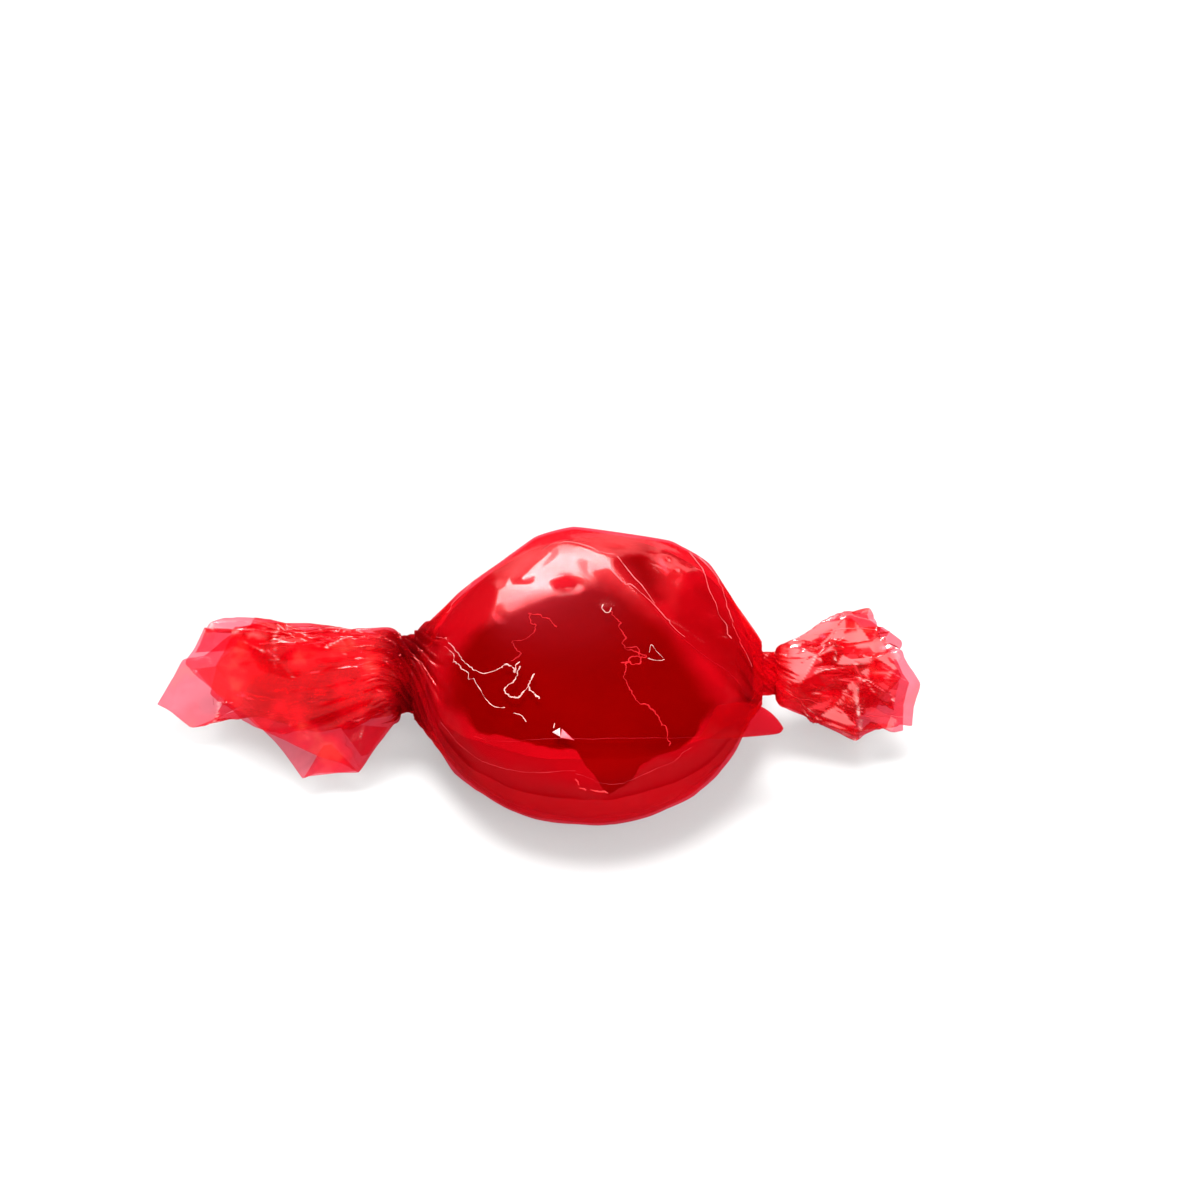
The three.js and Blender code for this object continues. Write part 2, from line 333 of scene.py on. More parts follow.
def end_rule(tree, geometry, material):
    """Shade the result smooth, make all of it real, and give it its material."""
    smooth = node(tree, "GeometryNodeSetShadeSmooth", geometry=geometry)
    whole = node(tree, "GeometryNodeRealizeInstances", geometry=smooth.outputs[0])
    dressed = node(tree, "GeometryNodeSetMaterial", geometry=whole.outputs[0], material=material)
    leave = tree.nodes.new("NodeGroupOutput")
    tree.links.new(dressed.outputs[0], leave.inputs[0])


def grow_mesh(name, tree, keys, sizes, start=None):
    """Run a tree on a starting mesh, or on an empty one, and keep its result as a plain mesh."""
    seedling = bpy.data.objects.new(name + "_rule", start or bpy.data.meshes.new(name + "_rule"))
    bpy.context.collection.objects.link(seedling)
    modifier = seedling.modifiers.new("rule", "NODES")
    modifier.node_group = tree
    for size_name, value in sizes.items():
        modifier[keys[size_name]] = value
    graph = bpy.context.evaluated_depsgraph_get()
    mesh = bpy.data.meshes.new_from_object(seedling.evaluated_get(graph))
    bpy.data.objects.remove(seedling)
    grown = bpy.data.objects.new(name, mesh)
    bpy.context.collection.objects.link(grown)
    return grown


# %% Build the candy with Geometry Nodes
def button_tree(sizes, material):
    """A round sphere bent into the button by the rule with two powers."""
    tree, keys, size = start_rule("button_of_sugar", sizes)
    ball = node(tree, "GeometryNodeMeshUVSphere", segments=160, rings=96, radius=1.0)
    place = node(tree, "GeometryNodeInputPosition").outputs[0]
    x, y, z = node(tree, "ShaderNodeSeparateXYZ", vector=place).outputs
    level = calc(tree, "SQRT", calc(tree, "MULTIPLY_ADD", x, x, calc(tree, "MULTIPLY", y, y)))
    azimuth = calc(tree, "ARCTAN2", y, x)
    away = calc(tree, "WRAP", calc(tree, "SUBTRACT", azimuth, size["thin side"]), math.pi, -math.pi)
    bump = calc(tree, "POWER", calc(tree, "DIVIDE", away, size["thin side width"]), 2.0)
    hollow = calc(tree, "EXPONENT", calc(tree, "MULTIPLY", bump, -1.0))
    thinner = calc(tree, "MULTIPLY", size["thin side depth"], hollow)
    radius = calc(tree, "SUBTRACT", size["radius"], thinner)
    outwards = calc(tree, "POWER", level, calc(tree, "DIVIDE", 2.0, size["dome power"]))
    across = calc(tree, "MULTIPLY", radius, outwards)
    steep = calc(tree, "POWER", calc(tree, "ABSOLUTE", z), calc(tree, "DIVIDE", 2.0, size["rim power"]))
    up = calc(tree, "MULTIPLY", calc(tree, "SIGN", z), steep)
    up = calc(tree, "MULTIPLY", up, size["half height"])
    height = calc(tree, "ADD", up, size["rest height"])
    east = calc(tree, "MULTIPLY", across, calc(tree, "COSINE", azimuth))
    north = calc(tree, "MULTIPLY", across, calc(tree, "SINE", azimuth))
    target = node(tree, "ShaderNodeCombineXYZ", x=east, y=north, z=height).outputs[0]
    bent = node(tree, "GeometryNodeSetPosition", geometry=ball.outputs["Mesh"], position=target)
    end_rule(tree, bent.outputs[0], material)
    return tree, keys


candy_red, candy_tree = new_material("candy_red")
BUTTON = {
    "radius": SWEET_RADIUS * MM,
    "half height": SWEET_HALF_HEIGHT * MM,
    "dome power": DOME_POWER,
    "rim power": RIM_POWER,
    "thin side": math.radians(FLAT_SIDE_AZIMUTH),
    "thin side width": math.radians(FLAT_SIDE_WIDTH),
    "thin side depth": FLAT_SIDE_DEPTH * MM,
    "rest height": REST_HEIGHT * MM,
}
rule, rule_keys = button_tree(BUTTON, candy_red)
candy = grow_mesh("candy", rule, rule_keys, BUTTON)
print("candy:", len(candy.data.vertices), "points,", [round(d / MM, 1) for d in candy.dimensions], "mm")

# %% [markdown]
# ## The candy's sugar
#
# Boiled sugar is a glass: it is smooth, and light goes a little way into it before it comes back
# red. A Principled shader with some subsurface light does that. Fine pits and a slow unevenness from
# the mould keep its gloss from looking like plastic.

# %% Colour the candy
SUGAR_RED = (0.27, 0.001, 0.0015)


def noise(tree, place, scale, detail):
    """Soft noise over a piece; a scale of 100 gives patches of about 10 mm."""
    return node(tree, "ShaderNodeTexNoise", vector=place, scale=scale, detail=detail).outputs["Fac"]


def shaded(tree, colour, pattern, darkest, brightest):
    """A colour made darker and brighter by a pattern."""
    tone = node(tree, "ShaderNodeMapRange", value=pattern, to_min=darkest, to_max=brightest).outputs[0]
    shade = node(tree, "ShaderNodeVectorMath", {"operation": "SCALE"}, scale=tone)
    shade.inputs[0].default_value = colour
    return shade.outputs[0]


def finish_candy(tree):
    """Deep red sugar, a little cloudy, with a slightly uneven gloss."""
    place = node(tree, "ShaderNodeTexCoord").outputs["Object"]
    cloudy = shaded(tree, SUGAR_RED, noise(tree, place, 160.0, 3.0), 0.75, 1.1)
    grain = noise(tree, place, 900.0, 2.0)
    pits = node(tree, "ShaderNodeBump", strength=0.25, distance=0.05 * MM, height=grain).outputs[0]
    sugar = node(tree, "ShaderNodeBsdfPrincipled", base_color=cloudy, roughness=0.3, normal=pits)
    sugar.inputs["Specular IOR Level"].default_value = 0.1
    sugar.inputs["Subsurface Weight"].default_value = 0.25
    sugar.inputs["Subsurface Radius"].default_value = (1.0, 0.1, 0.1)
    sugar.inputs["Subsurface Scale"].default_value = 1.5 * MM
    tree.links.new(sugar.outputs[0], tree.nodes["Material Output"].inputs[0])


finish_candy(candy_tree)
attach(candy, "root")
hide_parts("wrapped_sweet")

# %% [markdown]
# ## The film's way round the candy
#
# Clear film can't stretch, so it lies in flat tight panels where it is pulled, and as a straight line
# from the candy's shoulder to each neck. Both follow from one rule. At each angle round the twist
# axis, the film's distance from the axis is that of the candy with a little slack, cut back by the
# flat panels that touch it, and then the taut line is drawn over that from neck to neck.

# %% Sizes of the film
FILM_GAP = 0.06
FILM_SLACK, LOW_SLACK = 0.6, 0.25
NECK_X, NECK_LENGTH, NECK_RIBS = 13.55, 1.0, 0.16
TWIST_FROM, TWIST_TO, NECK_TWIST = 10.6, 16.2, 130
LEFT_NECK_RADIUS, RIGHT_NECK_RADIUS = 3.0, 1.65
PANELS = [
    # azimuth, elevation, slack
    (137, 33, 0.0), (79, 43, 0.1), (26, 23, 0.15), (4, 62, 0.1), (168, 58, 0.1), (100, 5, 0.2),
    (195, 20, 0.2), (345, 18, 0.2), (220, -8, 0.0), (255, -6, 0.1), (292, -6, 0.1),
    (328, -12, 0.0), (270, 38, 0.1), (235, 35, 0.1), (310, 42, 0.1), (90, -40, 0.1),
    (20, -45, 0.1), (160, -45, 0.1), (228, -40, 0.1), (262, -46, 0.1), (305, -42, 0.1),
]


def smooth_step(value, low, high):
    """0 below low, 1 above high, and smooth between."""
    share = np.clip((value - low) / (high - low), 0, 1)
    return share * share * (3 - 2 * share)


def turned_by(x):
    """How far the twist has turned the sheet at a place along the axis; the neck lies in its middle."""
    return np.sign(x) * math.radians(NECK_TWIST) * smooth_step(np.abs(x), TWIST_FROM, TWIST_TO)


def plan_radius(azimuth):
    """Plan radius of the button towards an azimuth in degrees: round, with one thinner side."""
    away = (azimuth - FLAT_SIDE_AZIMUTH + 180) % 360 - 180
    return SWEET_RADIUS - FLAT_SIDE_DEPTH * np.exp(-((away / FLAT_SIDE_WIDTH) ** 2))


def button_level(x, y, z, grow):
    """Under 1 inside the button grown by a margin, over 1 outside it."""
    across = np.hypot(x, y) / (plan_radius(np.degrees(np.arctan2(y, x))) + grow)
    return across ** DOME_POWER + (np.abs(z) / (SWEET_HALF_HEIGHT + grow)) ** RIM_POWER


def panel_planes():
    """Each tight panel as a unit normal and its distance from the middle."""
    share = np.linspace(0, 1, 201)
    height = SWEET_HALF_HEIGHT * (1 - share ** DOME_POWER) ** (1 / RIM_POWER)
    planes = []
    for azimuth, elevation, slack in PANELS:
        normal = towards(azimuth, elevation)
        level = cos_of(elevation) * plan_radius(azimuth)
        reach = np.max(level * share + abs(normal[2]) * height)
        planes.append((normal, reach + FILM_GAP + slack))
    return planes


def wrap_radius(x, angle, planes):
    """Distance from the twist axis to the film that lies on the candy, at x and an angle round X."""
    across, up = np.cos(angle), np.sin(angle)
    inside = np.zeros(np.broadcast(x, angle).shape)
    outside = inside + SWEET_RADIUS + 2 * FILM_SLACK
    slack = LOW_SLACK + (FILM_SLACK - LOW_SLACK) * (1 + np.cos(angle - np.pi / 4)) / 2
    for _ in range(30):
        middle = (inside + outside) / 2
        is_inside = button_level(x, middle * across, middle * up, FILM_GAP + slack) < 1
        inside = np.where(is_inside, middle, inside)
        outside = np.where(is_inside, outside, middle)
    radius = inside
    # each flat panel cuts the film back to its plane, and the floor does so from below
    for (along, back, rise), distance in planes:
        slope = back * across + rise * up
        limit = (distance - along * x) / np.where(slope > 0, slope, 1)
        radius = np.where(slope > 0, np.minimum(radius, np.maximum(limit, 0)), radius)
    return np.where(up < 0, np.minimum(radius, REST_HEIGHT / np.maximum(-up, 0.001)), radius)


def taut_line(xs, heights):
    """The line that a taut film takes over a row of points."""
    hull = []
    for x, y in zip(xs, heights):
        while len(hull) > 1:
            (ax, ay), (bx, by) = hull[-2:]
            if (bx - ax) * (y - ay) < (by - ay) * (x - ax):
                break
            hull.pop()
        hull.append((x, y))
    corners = np.array(hull)
    return np.interp(xs, corners[:, 0], corners[:, 1])


BODY_END = NECK_X - NECK_LENGTH / 2
BODY_ROWS = 132
# rows lie closer together towards the necks
BODY_XS = BODY_END * np.sin(np.pi / 2 * np.linspace(-1, 1, BODY_ROWS))


def body_heights():
    """The film's height over the axis, a row for each x of the body and a column for each degree."""
    xs = np.linspace(-NECK_X, NECK_X, 241)
    table = wrap_radius(xs[:, None], np.radians(np.arange(360))[None, :], panel_planes())
    table[0], table[-1] = LEFT_NECK_RADIUS, RIGHT_NECK_RADIUS
    lines = [taut_line(xs, table[:, column]) for column in range(360)]
    return np.array([np.interp(BODY_XS, xs, line) for line in lines]).T


BODY_HEIGHTS = body_heights()
print("film over the middle of the top:", round(float(BODY_HEIGHTS[BODY_ROWS // 2, 90]), 2), "mm")

# %% [markdown]
# ## Crumples
#
# A crumpled film is made of small flat facets with sharp edges between them, because it bends and
# doesn't stretch. Noise is too round for that. Here random points get random heights, and are joined
# into triangles: the height over any place is then read from the flat triangle under it.

# %% Make fields of crumples
def crumple(seed, cell_round, cell_along, around, along, period):
    """Heights between -1 and 1 over a sheet of flat facets; around wraps after one period."""
    rng = np.random.default_rng(seed)
    low, high = along.min() - 2 * cell_along, along.max() + 2 * cell_along
    count = int(period / cell_round * (high - low) / cell_along)
    spots = np.column_stack([rng.uniform(0, period, count), rng.uniform(low, high, count)])
    heights = rng.uniform(-1, 1, count)
    margin = 3 * cell_round
    right = spots[:, 0] < margin
    left = spots[:, 0] > period - margin
    spots = np.vstack([spots, spots[right] + (period, 0), spots[left] - (period, 0)])
    heights = np.concatenate([heights, heights[right], heights[left]])
    corners = [(0, low - 9), (period, low - 9), (0, high + 9), (period, high + 9)]
    flat = [Vector(spot) for spot in spots] + [Vector(corner) for corner in corners]
    heights = np.append(heights, np.zeros(4))
    points, _, faces, origins, _, _ = delaunay_2d_cdt(flat, [], [], 0, 1e-6)
    solid = [(p.x, p.y, heights[origin[0]]) for p, origin in zip(points, origins)]
    field = BVHTree.FromPolygons(solid, faces)
    down = Vector((0, 0, -1))
    result = np.zeros(around.size)
    for i, (a, b) in enumerate(zip((around % period).flat, along.flat)):
        hit = field.ray_cast(Vector((a, b, 5)), down)[0]
        result[i] = hit.z if hit else 0.0
    return result.reshape(around.shape)


# %% [markdown]
# ## The fans
#
# Past each neck the film opens again. The corners of its cut edge are listed, after the
# photograph, and the film runs from them into the neck. What makes it look like film is the gathers:
# they are deep and many at the neck, and open out towards the edge.

# %% Sizes of the fans
# corners of the cut edge, going round: reach from the neck, back from the axis, up from the axis
LEFT_MOUTH = [
    (15.2, 2.2, 3.0), (16.8, 0.6, 0.6), (14.4, -1.6, -0.3), (11.0, -4.4, -1.2), (6.4, -5.9, -3.0),
    (3.6, -6.0, -4.4), (7.8, -6.6, -4.4), (12.4, -0.4, -3.6), (16.6, -1.4, -4.5),
    (19.2, 0.4, -3.9), (17.4, 3.8, -2.6), (13.6, 5.8, -1.8), (12.0, 4.4, 1.4),
]
RIGHT_MOUTH = [
    (8.8, 1.6, 2.5), (10.0, 0.0, 2.0), (11.3, -1.3, 0.4), (10.9, -2.2, -1.4), (10.9, -2.6, -3.2),
    (7.0, -3.1, -3.5), (6.6, -1.0, -4.2), (8.6, 0.8, -4.4), (10.4, 2.8, -3.4), (9.2, 4.2, -1.8),
    (10.2, 3.8, -0.2), (8.4, 4.2, 1.2), (8.8, 3.0, 1.8),
]
LEFT_FAN = dict(
    side=-1,
    neck=LEFT_NECK_RADIUS,
    mouth=LEFT_MOUTH,
    puff=0.4,
    pleats=(0.0, 0.25),
    folds=(11, 27, 0.42),
    parting=0.3,
    rows=76,
)
RIGHT_FAN = dict(
    side=1,
    neck=RIGHT_NECK_RADIUS,
    mouth=RIGHT_MOUTH,
    puff=0.36,
    pleats=(0.0, 0.2),
    folds=(5, 11, 0.1),
    parting=0.16,
    rows=60,
)
# the outer turn ends earlier than the inner one along the fan's lower front
OUTER_LEFT_MOUTH = [
    (15.0, 2.2, 3.0), (16.4, 0.6, 0.7), (14.4, -1.5, -0.4), (11.4, -3.2, -1.2), (8.4, -3.3, -1.9),
    (4.2, -3.4, -2.5), (6.2, -3.3, -2.9), (9.6, -3.1, -3.4), (12.6, -1.5, -3.3), (15.2, 1.0, -3.2),
    (14.6, 3.6, -2.4), (13.0, 5.4, -1.6), (11.6, 4.2, 1.6),
]
NECK_ROWS, NECK_PLEATS = 7, 0.55
# the pleats that the twist presses into the neck: seed, how many, and their share of the depth
TWIST_PLEATS = [(3, 19, 0.7), (4, 47, 0.3)]
# the share of the broad folds among a fan's own; where on its length they and the corners begin
BROAD_SHARE, PARTS_FROM, CORNERS_FROM = 0.75, 0.02, 0.45
# rows lie closer near the neck; folds fade to this share of their depth at the cut edge
FAN_ROW_SPREAD, EDGE_FOLDS, FOLD_FADE = 1.15, 0.12, 1.3


def pleats_round(angles, seed, count):
    """Sharp pleats round the film, 0 on a ridge and up to 1 in a valley, each of its own width."""
    rng = np.random.default_rng(seed)
    widths = rng.uniform(0.5, 1.6, count)
    ridges = np.concatenate([[0], np.cumsum(widths)]) / widths.sum() * 2 * np.pi
    places = np.sort(np.concatenate([ridges, (ridges[:-1] + ridges[1:]) / 2]))
    depths = np.zeros(len(places))
    depths[1::2] = rng.uniform(0.35, 1.0, count)
    return np.interp(angles % (2 * np.pi), places, depths)


def twist_pleats(angles):
    """The pleats that the twist presses into every turn of the film."""
    return sum(share * pleats_round(angles, seed, count) for seed, count, share in TWIST_PLEATS)


def neck_ring(fan, angles, share):
    """A ring of the pleated rope that the twist makes, at a share of the neck's length outwards."""
    x = np.full(len(angles), fan["side"] * (NECK_X + NECK_LENGTH * (share - 0.5)))
    turned = angles + turned_by(x)
    radius = (fan["neck"] + NECK_RIBS / 2) * (1 - NECK_PLEATS * twist_pleats(angles))
    return np.column_stack([x, radius * np.cos(turned), radius * np.sin(turned)])


def mouth_outline(fan, places, rng):
    """Points of the cut edge at places counted in corners, with a pleat between every two corners."""
    corners = np.array(fan["mouth"], float)
    corners[:, 0] = fan["side"] * (NECK_X + corners[:, 0])
    middle = corners.mean(axis=0)
    depths = rng.uniform(*fan["pleats"], len(corners))
    first = np.floor(places).astype(int) % len(corners)
    share = (places % 1)[:, None]
    points = corners[first] * (1 - share) + corners[(first + 1) % len(corners)] * share
    inwards = middle - points
    inwards[:, 0] = 0
    inwards /= np.linalg.norm(inwards, axis=1)[:, None]
    return points + inwards * (depths[first][:, None] * np.sin(np.pi * share) ** 2), middle


def soft_mouth(fan, places):
    """The cut edge with its corners rounded off, as the film runs behind it."""
    shifts = np.linspace(-1.2, 1.2, 9)
    outlines = [mouth_outline(fan, places + shift, np.random.default_rng(0))[0] for shift in shifts]
    return np.mean(outlines, axis=0)


def mouth_start(fan):
    """Which place on the cut edge faces the neck's first column."""
    places = np.linspace(0, len(fan["mouth"]), 520, endpoint=False)
    points, middle = mouth_outline(fan, places, np.random.default_rng(0))
    directions = np.arctan2(points[:, 2] - middle[2], points[:, 1] - middle[1])
    facing = fan["side"] * math.radians(NECK_TWIST)
    return places[np.argmin(np.abs(np.sin((directions - facing) / 2)))]


def fan_rows(fan, angles, spread, reach, seed):
    """Rows of one sheet in a fan, from the neck out; spread and reach size it against the mouth."""
    broad, narrow, pull = fan["folds"]
    rng = np.random.default_rng(seed)
    root = neck_ring(fan, angles, 1.0)
    root_middle = np.array([root[0, 0], 0, 0])
    places = mouth_start(fan) + angles / (2 * np.pi) * len(fan["mouth"])
    edge, middle = mouth_outline(fan, places, np.random.default_rng(fan["side"] + 5))
    edge = middle + (edge - middle) * (1, spread, spread)
    edge[:, 0] = root[:, 0] + (edge[:, 0] - root[:, 0]) * reach
    behind = middle + (soft_mouth(fan, places) - middle) * (1, spread, spread)
    coarse, fine = rng.integers(1, 9999, 2)
    own = BROAD_SHARE * pleats_round(angles, coarse, broad)
    own = own + (1 - BROAD_SHARE) * pleats_round(angles, fine, narrow)
    neck_radius = np.hypot(root[:, 1], root[:, 2])
    rows = []
    for share in np.linspace(0, 1, fan["rows"] + 1)[1:] ** FAN_ROW_SPREAD:
        centre = root_middle + (middle - root_middle) * share
        opening = share ** fan["puff"]
        turned = angles + turned_by(centre[0])
        # the rope of the neck parts into the sheet's own folds
        parted = smooth_step(share, PARTS_FROM, fan["parting"])
        rope_radius = neck_radius * (1 - parted) + neck_radius.mean() * parted
        rope = np.column_stack([0 * angles, rope_radius * np.cos(turned), rope_radius * np.sin(turned)])
        # only the outer half of the fan has the corners of the cut edge
        cornered = smooth_step(share, CORNERS_FROM, 1.0)
        ring = behind * (1 - cornered) + edge * cornered
        offset = rope * (1 - opening) + (ring - middle) * opening
        folds = twist_pleats(angles) * (1 - parted) + own * parted
        inwards = pull * opening * folds * (EDGE_FOLDS + (1 - EDGE_FOLDS) * (1 - share) ** FOLD_FADE)
        offset = offset * (1 - inwards[:, None])
        point = centre + offset
        point[:, 0] = root[:, 0] + (edge[:, 0] - root[:, 0]) * share
        rows.append(point)
    return np.array(rows)


print("left fan starts at corner", round(mouth_start(LEFT_FAN), 2))

# %% [markdown]
# ## One turn of film as a mesh
#
# A turn is a grid: one row for each place along the twist axis and one column for each angle round
# it. Rows of the left fan, the left neck, the body, the right neck and the right fan follow each
# other, so the film is one sheet from edge to edge, as the real one is.

# %% Creases, and where the film sticks to the candy
# degrees round X count as mm on a roll of this radius
BODY_ARC = 10.0
# each crease: a path of (x, degrees round X), how high it stands, and how wide its slopes are
CREASES = [
    ([(1.8, 57), (6.4, 110), (11.6, 155)], 0.25, 1.6),
    ([(-4.7, 62), (-2.3, 38), (1.9, 51), (6.0, 42)], 0.12, 0.9),
    ([(6.0, 42), (8.2, 70), (10.5, 100)], 0.2, 1.2),
    ([(-7.9, 180), (-1.2, 172), (1.5, 179), (7.7, 192)], 0.2, 1.0),
    ([(1.3, 176), (5.0, 164), (9.0, 172)], 0.12, 0.9),
    ([(-10.5, 118), (-8.6, 138), (-7.0, 160)], 0.1, 0.8),
]
# small round dents and bumps, and spots with fine crumples: x, degrees round X, radius, height
DIMPLES = [(-1.6, 70, 0.6, -0.3), (-1.9, 64, 0.4, 0.15), (1.4, 88, 0.25, 0.08), (4.6, 112, 0.3, 0.08)]
CRUMPLED_SPOTS = [
    (6.4, 46, 3.0, 0.35), (0.3, 173, 1.6, 0.25), (-6.5, 176, 1.8, 0.15), (9.5, 80, 2.6, 0.2),
]
# the film sticks to the sugar inside these outlines of (x, degrees round X)
STUCK_FRONT = [
    (-10.3, 150), (-7.9, 159), (-0.9, 159.5), (1.3, 175.8), (5.0, 164), (7.9, 162.4), (9.6, 150),
    (6.4, 110), (3.6, 82), (1.0, 66), (-2.5, 72), (-6.0, 88), (-8.6, 104), (-10.0, 122),
]
STUCK_BACK = [(-6, 20), (-7, 4), (-4, -14), (1, -20), (6, -8), (7, 8), (3, 22)]
STUCK_WEDGE = [(2.1, 47), (4.6, 37), (5.3, 58), (5.8, 78), (4.9, 82), (3.5, 67)]
HALF_STUCK = [
    (7.1, 114), (6.5, 82), (8.5, 57), (10.1, 69), (11.5, 98), (12.1, 138), (11.6, 150), (9.4, 127),
]
STUCK_REACH = 3


def distance_to(path, x, angles):
    """Distance in mm, over the body's surface, from each grid point to a path."""
    y = np.broadcast_to(((angles + np.pi / 2) % (2 * np.pi) - np.pi / 2)[None, :] * BODY_ARC, x.shape)
    nearest = np.full(x.shape, 1e3)
    for (x0, deg0), (x1, deg1) in zip(path[:-1], path[1:]):
        y0, y1 = math.radians(deg0) * BODY_ARC, math.radians(deg1) * BODY_ARC
        span = (x1 - x0) ** 2 + (y1 - y0) ** 2
        share = np.clip(((x - x0) * (x1 - x0) + (y - y0) * (y1 - y0)) / span, 0, 1)
        apart = np.hypot(x - x0 - share * (x1 - x0), y - y0 - share * (y1 - y0))
        nearest = np.minimum(nearest, apart)
    return nearest


def outside_of(outline, x, angles):
    """Signed distance to a closed outline: above 0 outside it and below 0 inside."""
    degrees = np.degrees((angles + np.pi / 2) % (2 * np.pi) - np.pi / 2)[None, :]
    loop = outline + outline[:1]
    inside = np.zeros(x.shape, bool)
    for (x0, deg0), (x1, deg1) in zip(loop[:-1], loop[1:]):
        crosses = (deg0 > degrees) != (deg1 > degrees)
        rise = deg1 - deg0 if deg1 != deg0 else 1e-6
        inside ^= crosses & (x < x0 + (degrees - deg0) / rise * (x1 - x0))
    return np.where(inside, -1, 1) * distance_to(loop, x, angles)


def looseness(grid, angles):
    """How far, in mm, each point lies outside the places where the film is stuck."""
    x = grid[:, :, 0]
    outlines = (STUCK_FRONT, STUCK_BACK, STUCK_WEDGE)
    loose = np.min([outside_of(outline, x, angles) for outline in outlines], axis=0)
    loose = np.minimum(loose, np.maximum(outside_of(HALF_STUCK, x, angles), 0))
    return np.where(np.abs(x) < NECK_X, np.clip(loose, -STUCK_REACH, STUCK_REACH), STUCK_REACH)


# %% Lay one turn of film
FLOOR_GAP = 0.03
# the gathers begin this far from the middle, and there a second turn comes down onto the first
GATHERS_FROM, LIFT_ENDS = 8.0, (9, NECK_X - 1)


def keep_outside(grid, margin):
    """Push points that have sunk into the candy back out to a margin over it."""
    x, y, z = grid[:, :, 0], grid[:, :, 1], grid[:, :, 2]
    within = np.abs(x) < SWEET_RADIUS
    radius = np.maximum(np.hypot(y, z), 0.01)
    low, high = np.zeros(x.shape), np.full(x.shape, SWEET_RADIUS)
    for _ in range(24):
        middle = (low + high) / 2
        inside = button_level(x, middle * y / radius, middle * z / radius, margin) < 1
        low = np.where(inside, middle, low)
        high = np.where(inside, high, middle)
    grow = np.where(within & (radius < low), low / radius, 1.0)
    return np.stack([x, y * grow, z * grow], axis=2)


def body_rows(angles, lift):
    """Rows over the candy, with gathers that die out from the necks towards the middle."""
    near_neck = smooth_step(np.abs(BODY_XS), GATHERS_FROM, NECK_X)[:, None] ** 2
    turned = angles[None, :] + turned_by(BODY_XS)[:, None]
    degrees = np.degrees(turned) % 360
    whole = np.arange(360)
    heights = [np.interp(place, whole, row, period=360) for place, row in zip(degrees, BODY_HEIGHTS)]
    radius = np.array(heights) * (1 - NECK_PLEATS * near_neck * twist_pleats(angles)[None, :])
    radius = radius + lift * (1 - smooth_step(np.abs(BODY_XS), *LIFT_ENDS))[:, None]
    up = np.maximum(radius * np.sin(turned), -REST_HEIGHT + FLOOR_GAP)
    x = np.broadcast_to(BODY_XS[:, None], radius.shape)
    return np.stack([x, radius * np.cos(turned), up], axis=2)


def grid_normals(grid, closed):
    """Unit normals of a grid of points, from its neighbours on both sides."""
    along = np.gradient(grid, axis=0)
    if closed:
        around = (np.roll(grid, -1, axis=1) - np.roll(grid, 1, axis=1)) / 2
    else:
        around = np.gradient(grid, axis=1)
    normals = np.cross(along, around)
    length = np.linalg.norm(normals, axis=2, keepdims=True)
    return -normals / np.maximum(length, 1e-9)


def lay_film(angles, lift, left_mouth, spread, reach, seed):
    """All rows of one turn, from the left edge to the right, before it is crumpled."""
    left = fan_rows(LEFT_FAN | {"mouth": left_mouth}, angles, 1.0, 1.0, seed)[::-1]
    right = fan_rows(RIGHT_FAN, angles, spread, reach, seed + 1)
    shares = np.linspace(0, 1, NECK_ROWS)
    left_neck = np.array([neck_ring(LEFT_FAN, angles, share) for share in shares[::-1]])
    right_neck = np.array([neck_ring(RIGHT_FAN, angles, share) for share in shares])
    body = body_rows(angles, lift)
    return np.concatenate([left, left_neck, body, right_neck, right])


# %% Crumple it
# sizes of the facets in mm, round the film and along it, and how far each field pushes
LONG_FOLDS, LONG_CREASES, LONG_PUSH = (3.6, 5.0), (1.5, 2.4), (0.7, 0.28)
SHORT_FOLDS, SHORT_CREASES, SHORT_PUSH = (3.2, 2.2), (1.6, 1.3), (1.35, 0.35)
TIGHT_PANELS, PANEL_SEED, PANEL_PUSH, SHOULDER_PUSH = (2.6, 4.0), 61, 0.07, (0.12, 0.05)
# the fields are laid out as if the film were rolled round this radius
CRUMPLE_RADIUS = 5.0
CRUMPLE_PERIOD = 2 * CRUMPLE_RADIUS * np.pi
# where they grow or fade, in mm: out from the neck, in from the neck, and out from the middle
FAN_GROWS, BODY_GROWS, SHOULDER_GROWS = (0.5, 6.0), (0.0, 3.0), (5, 11)


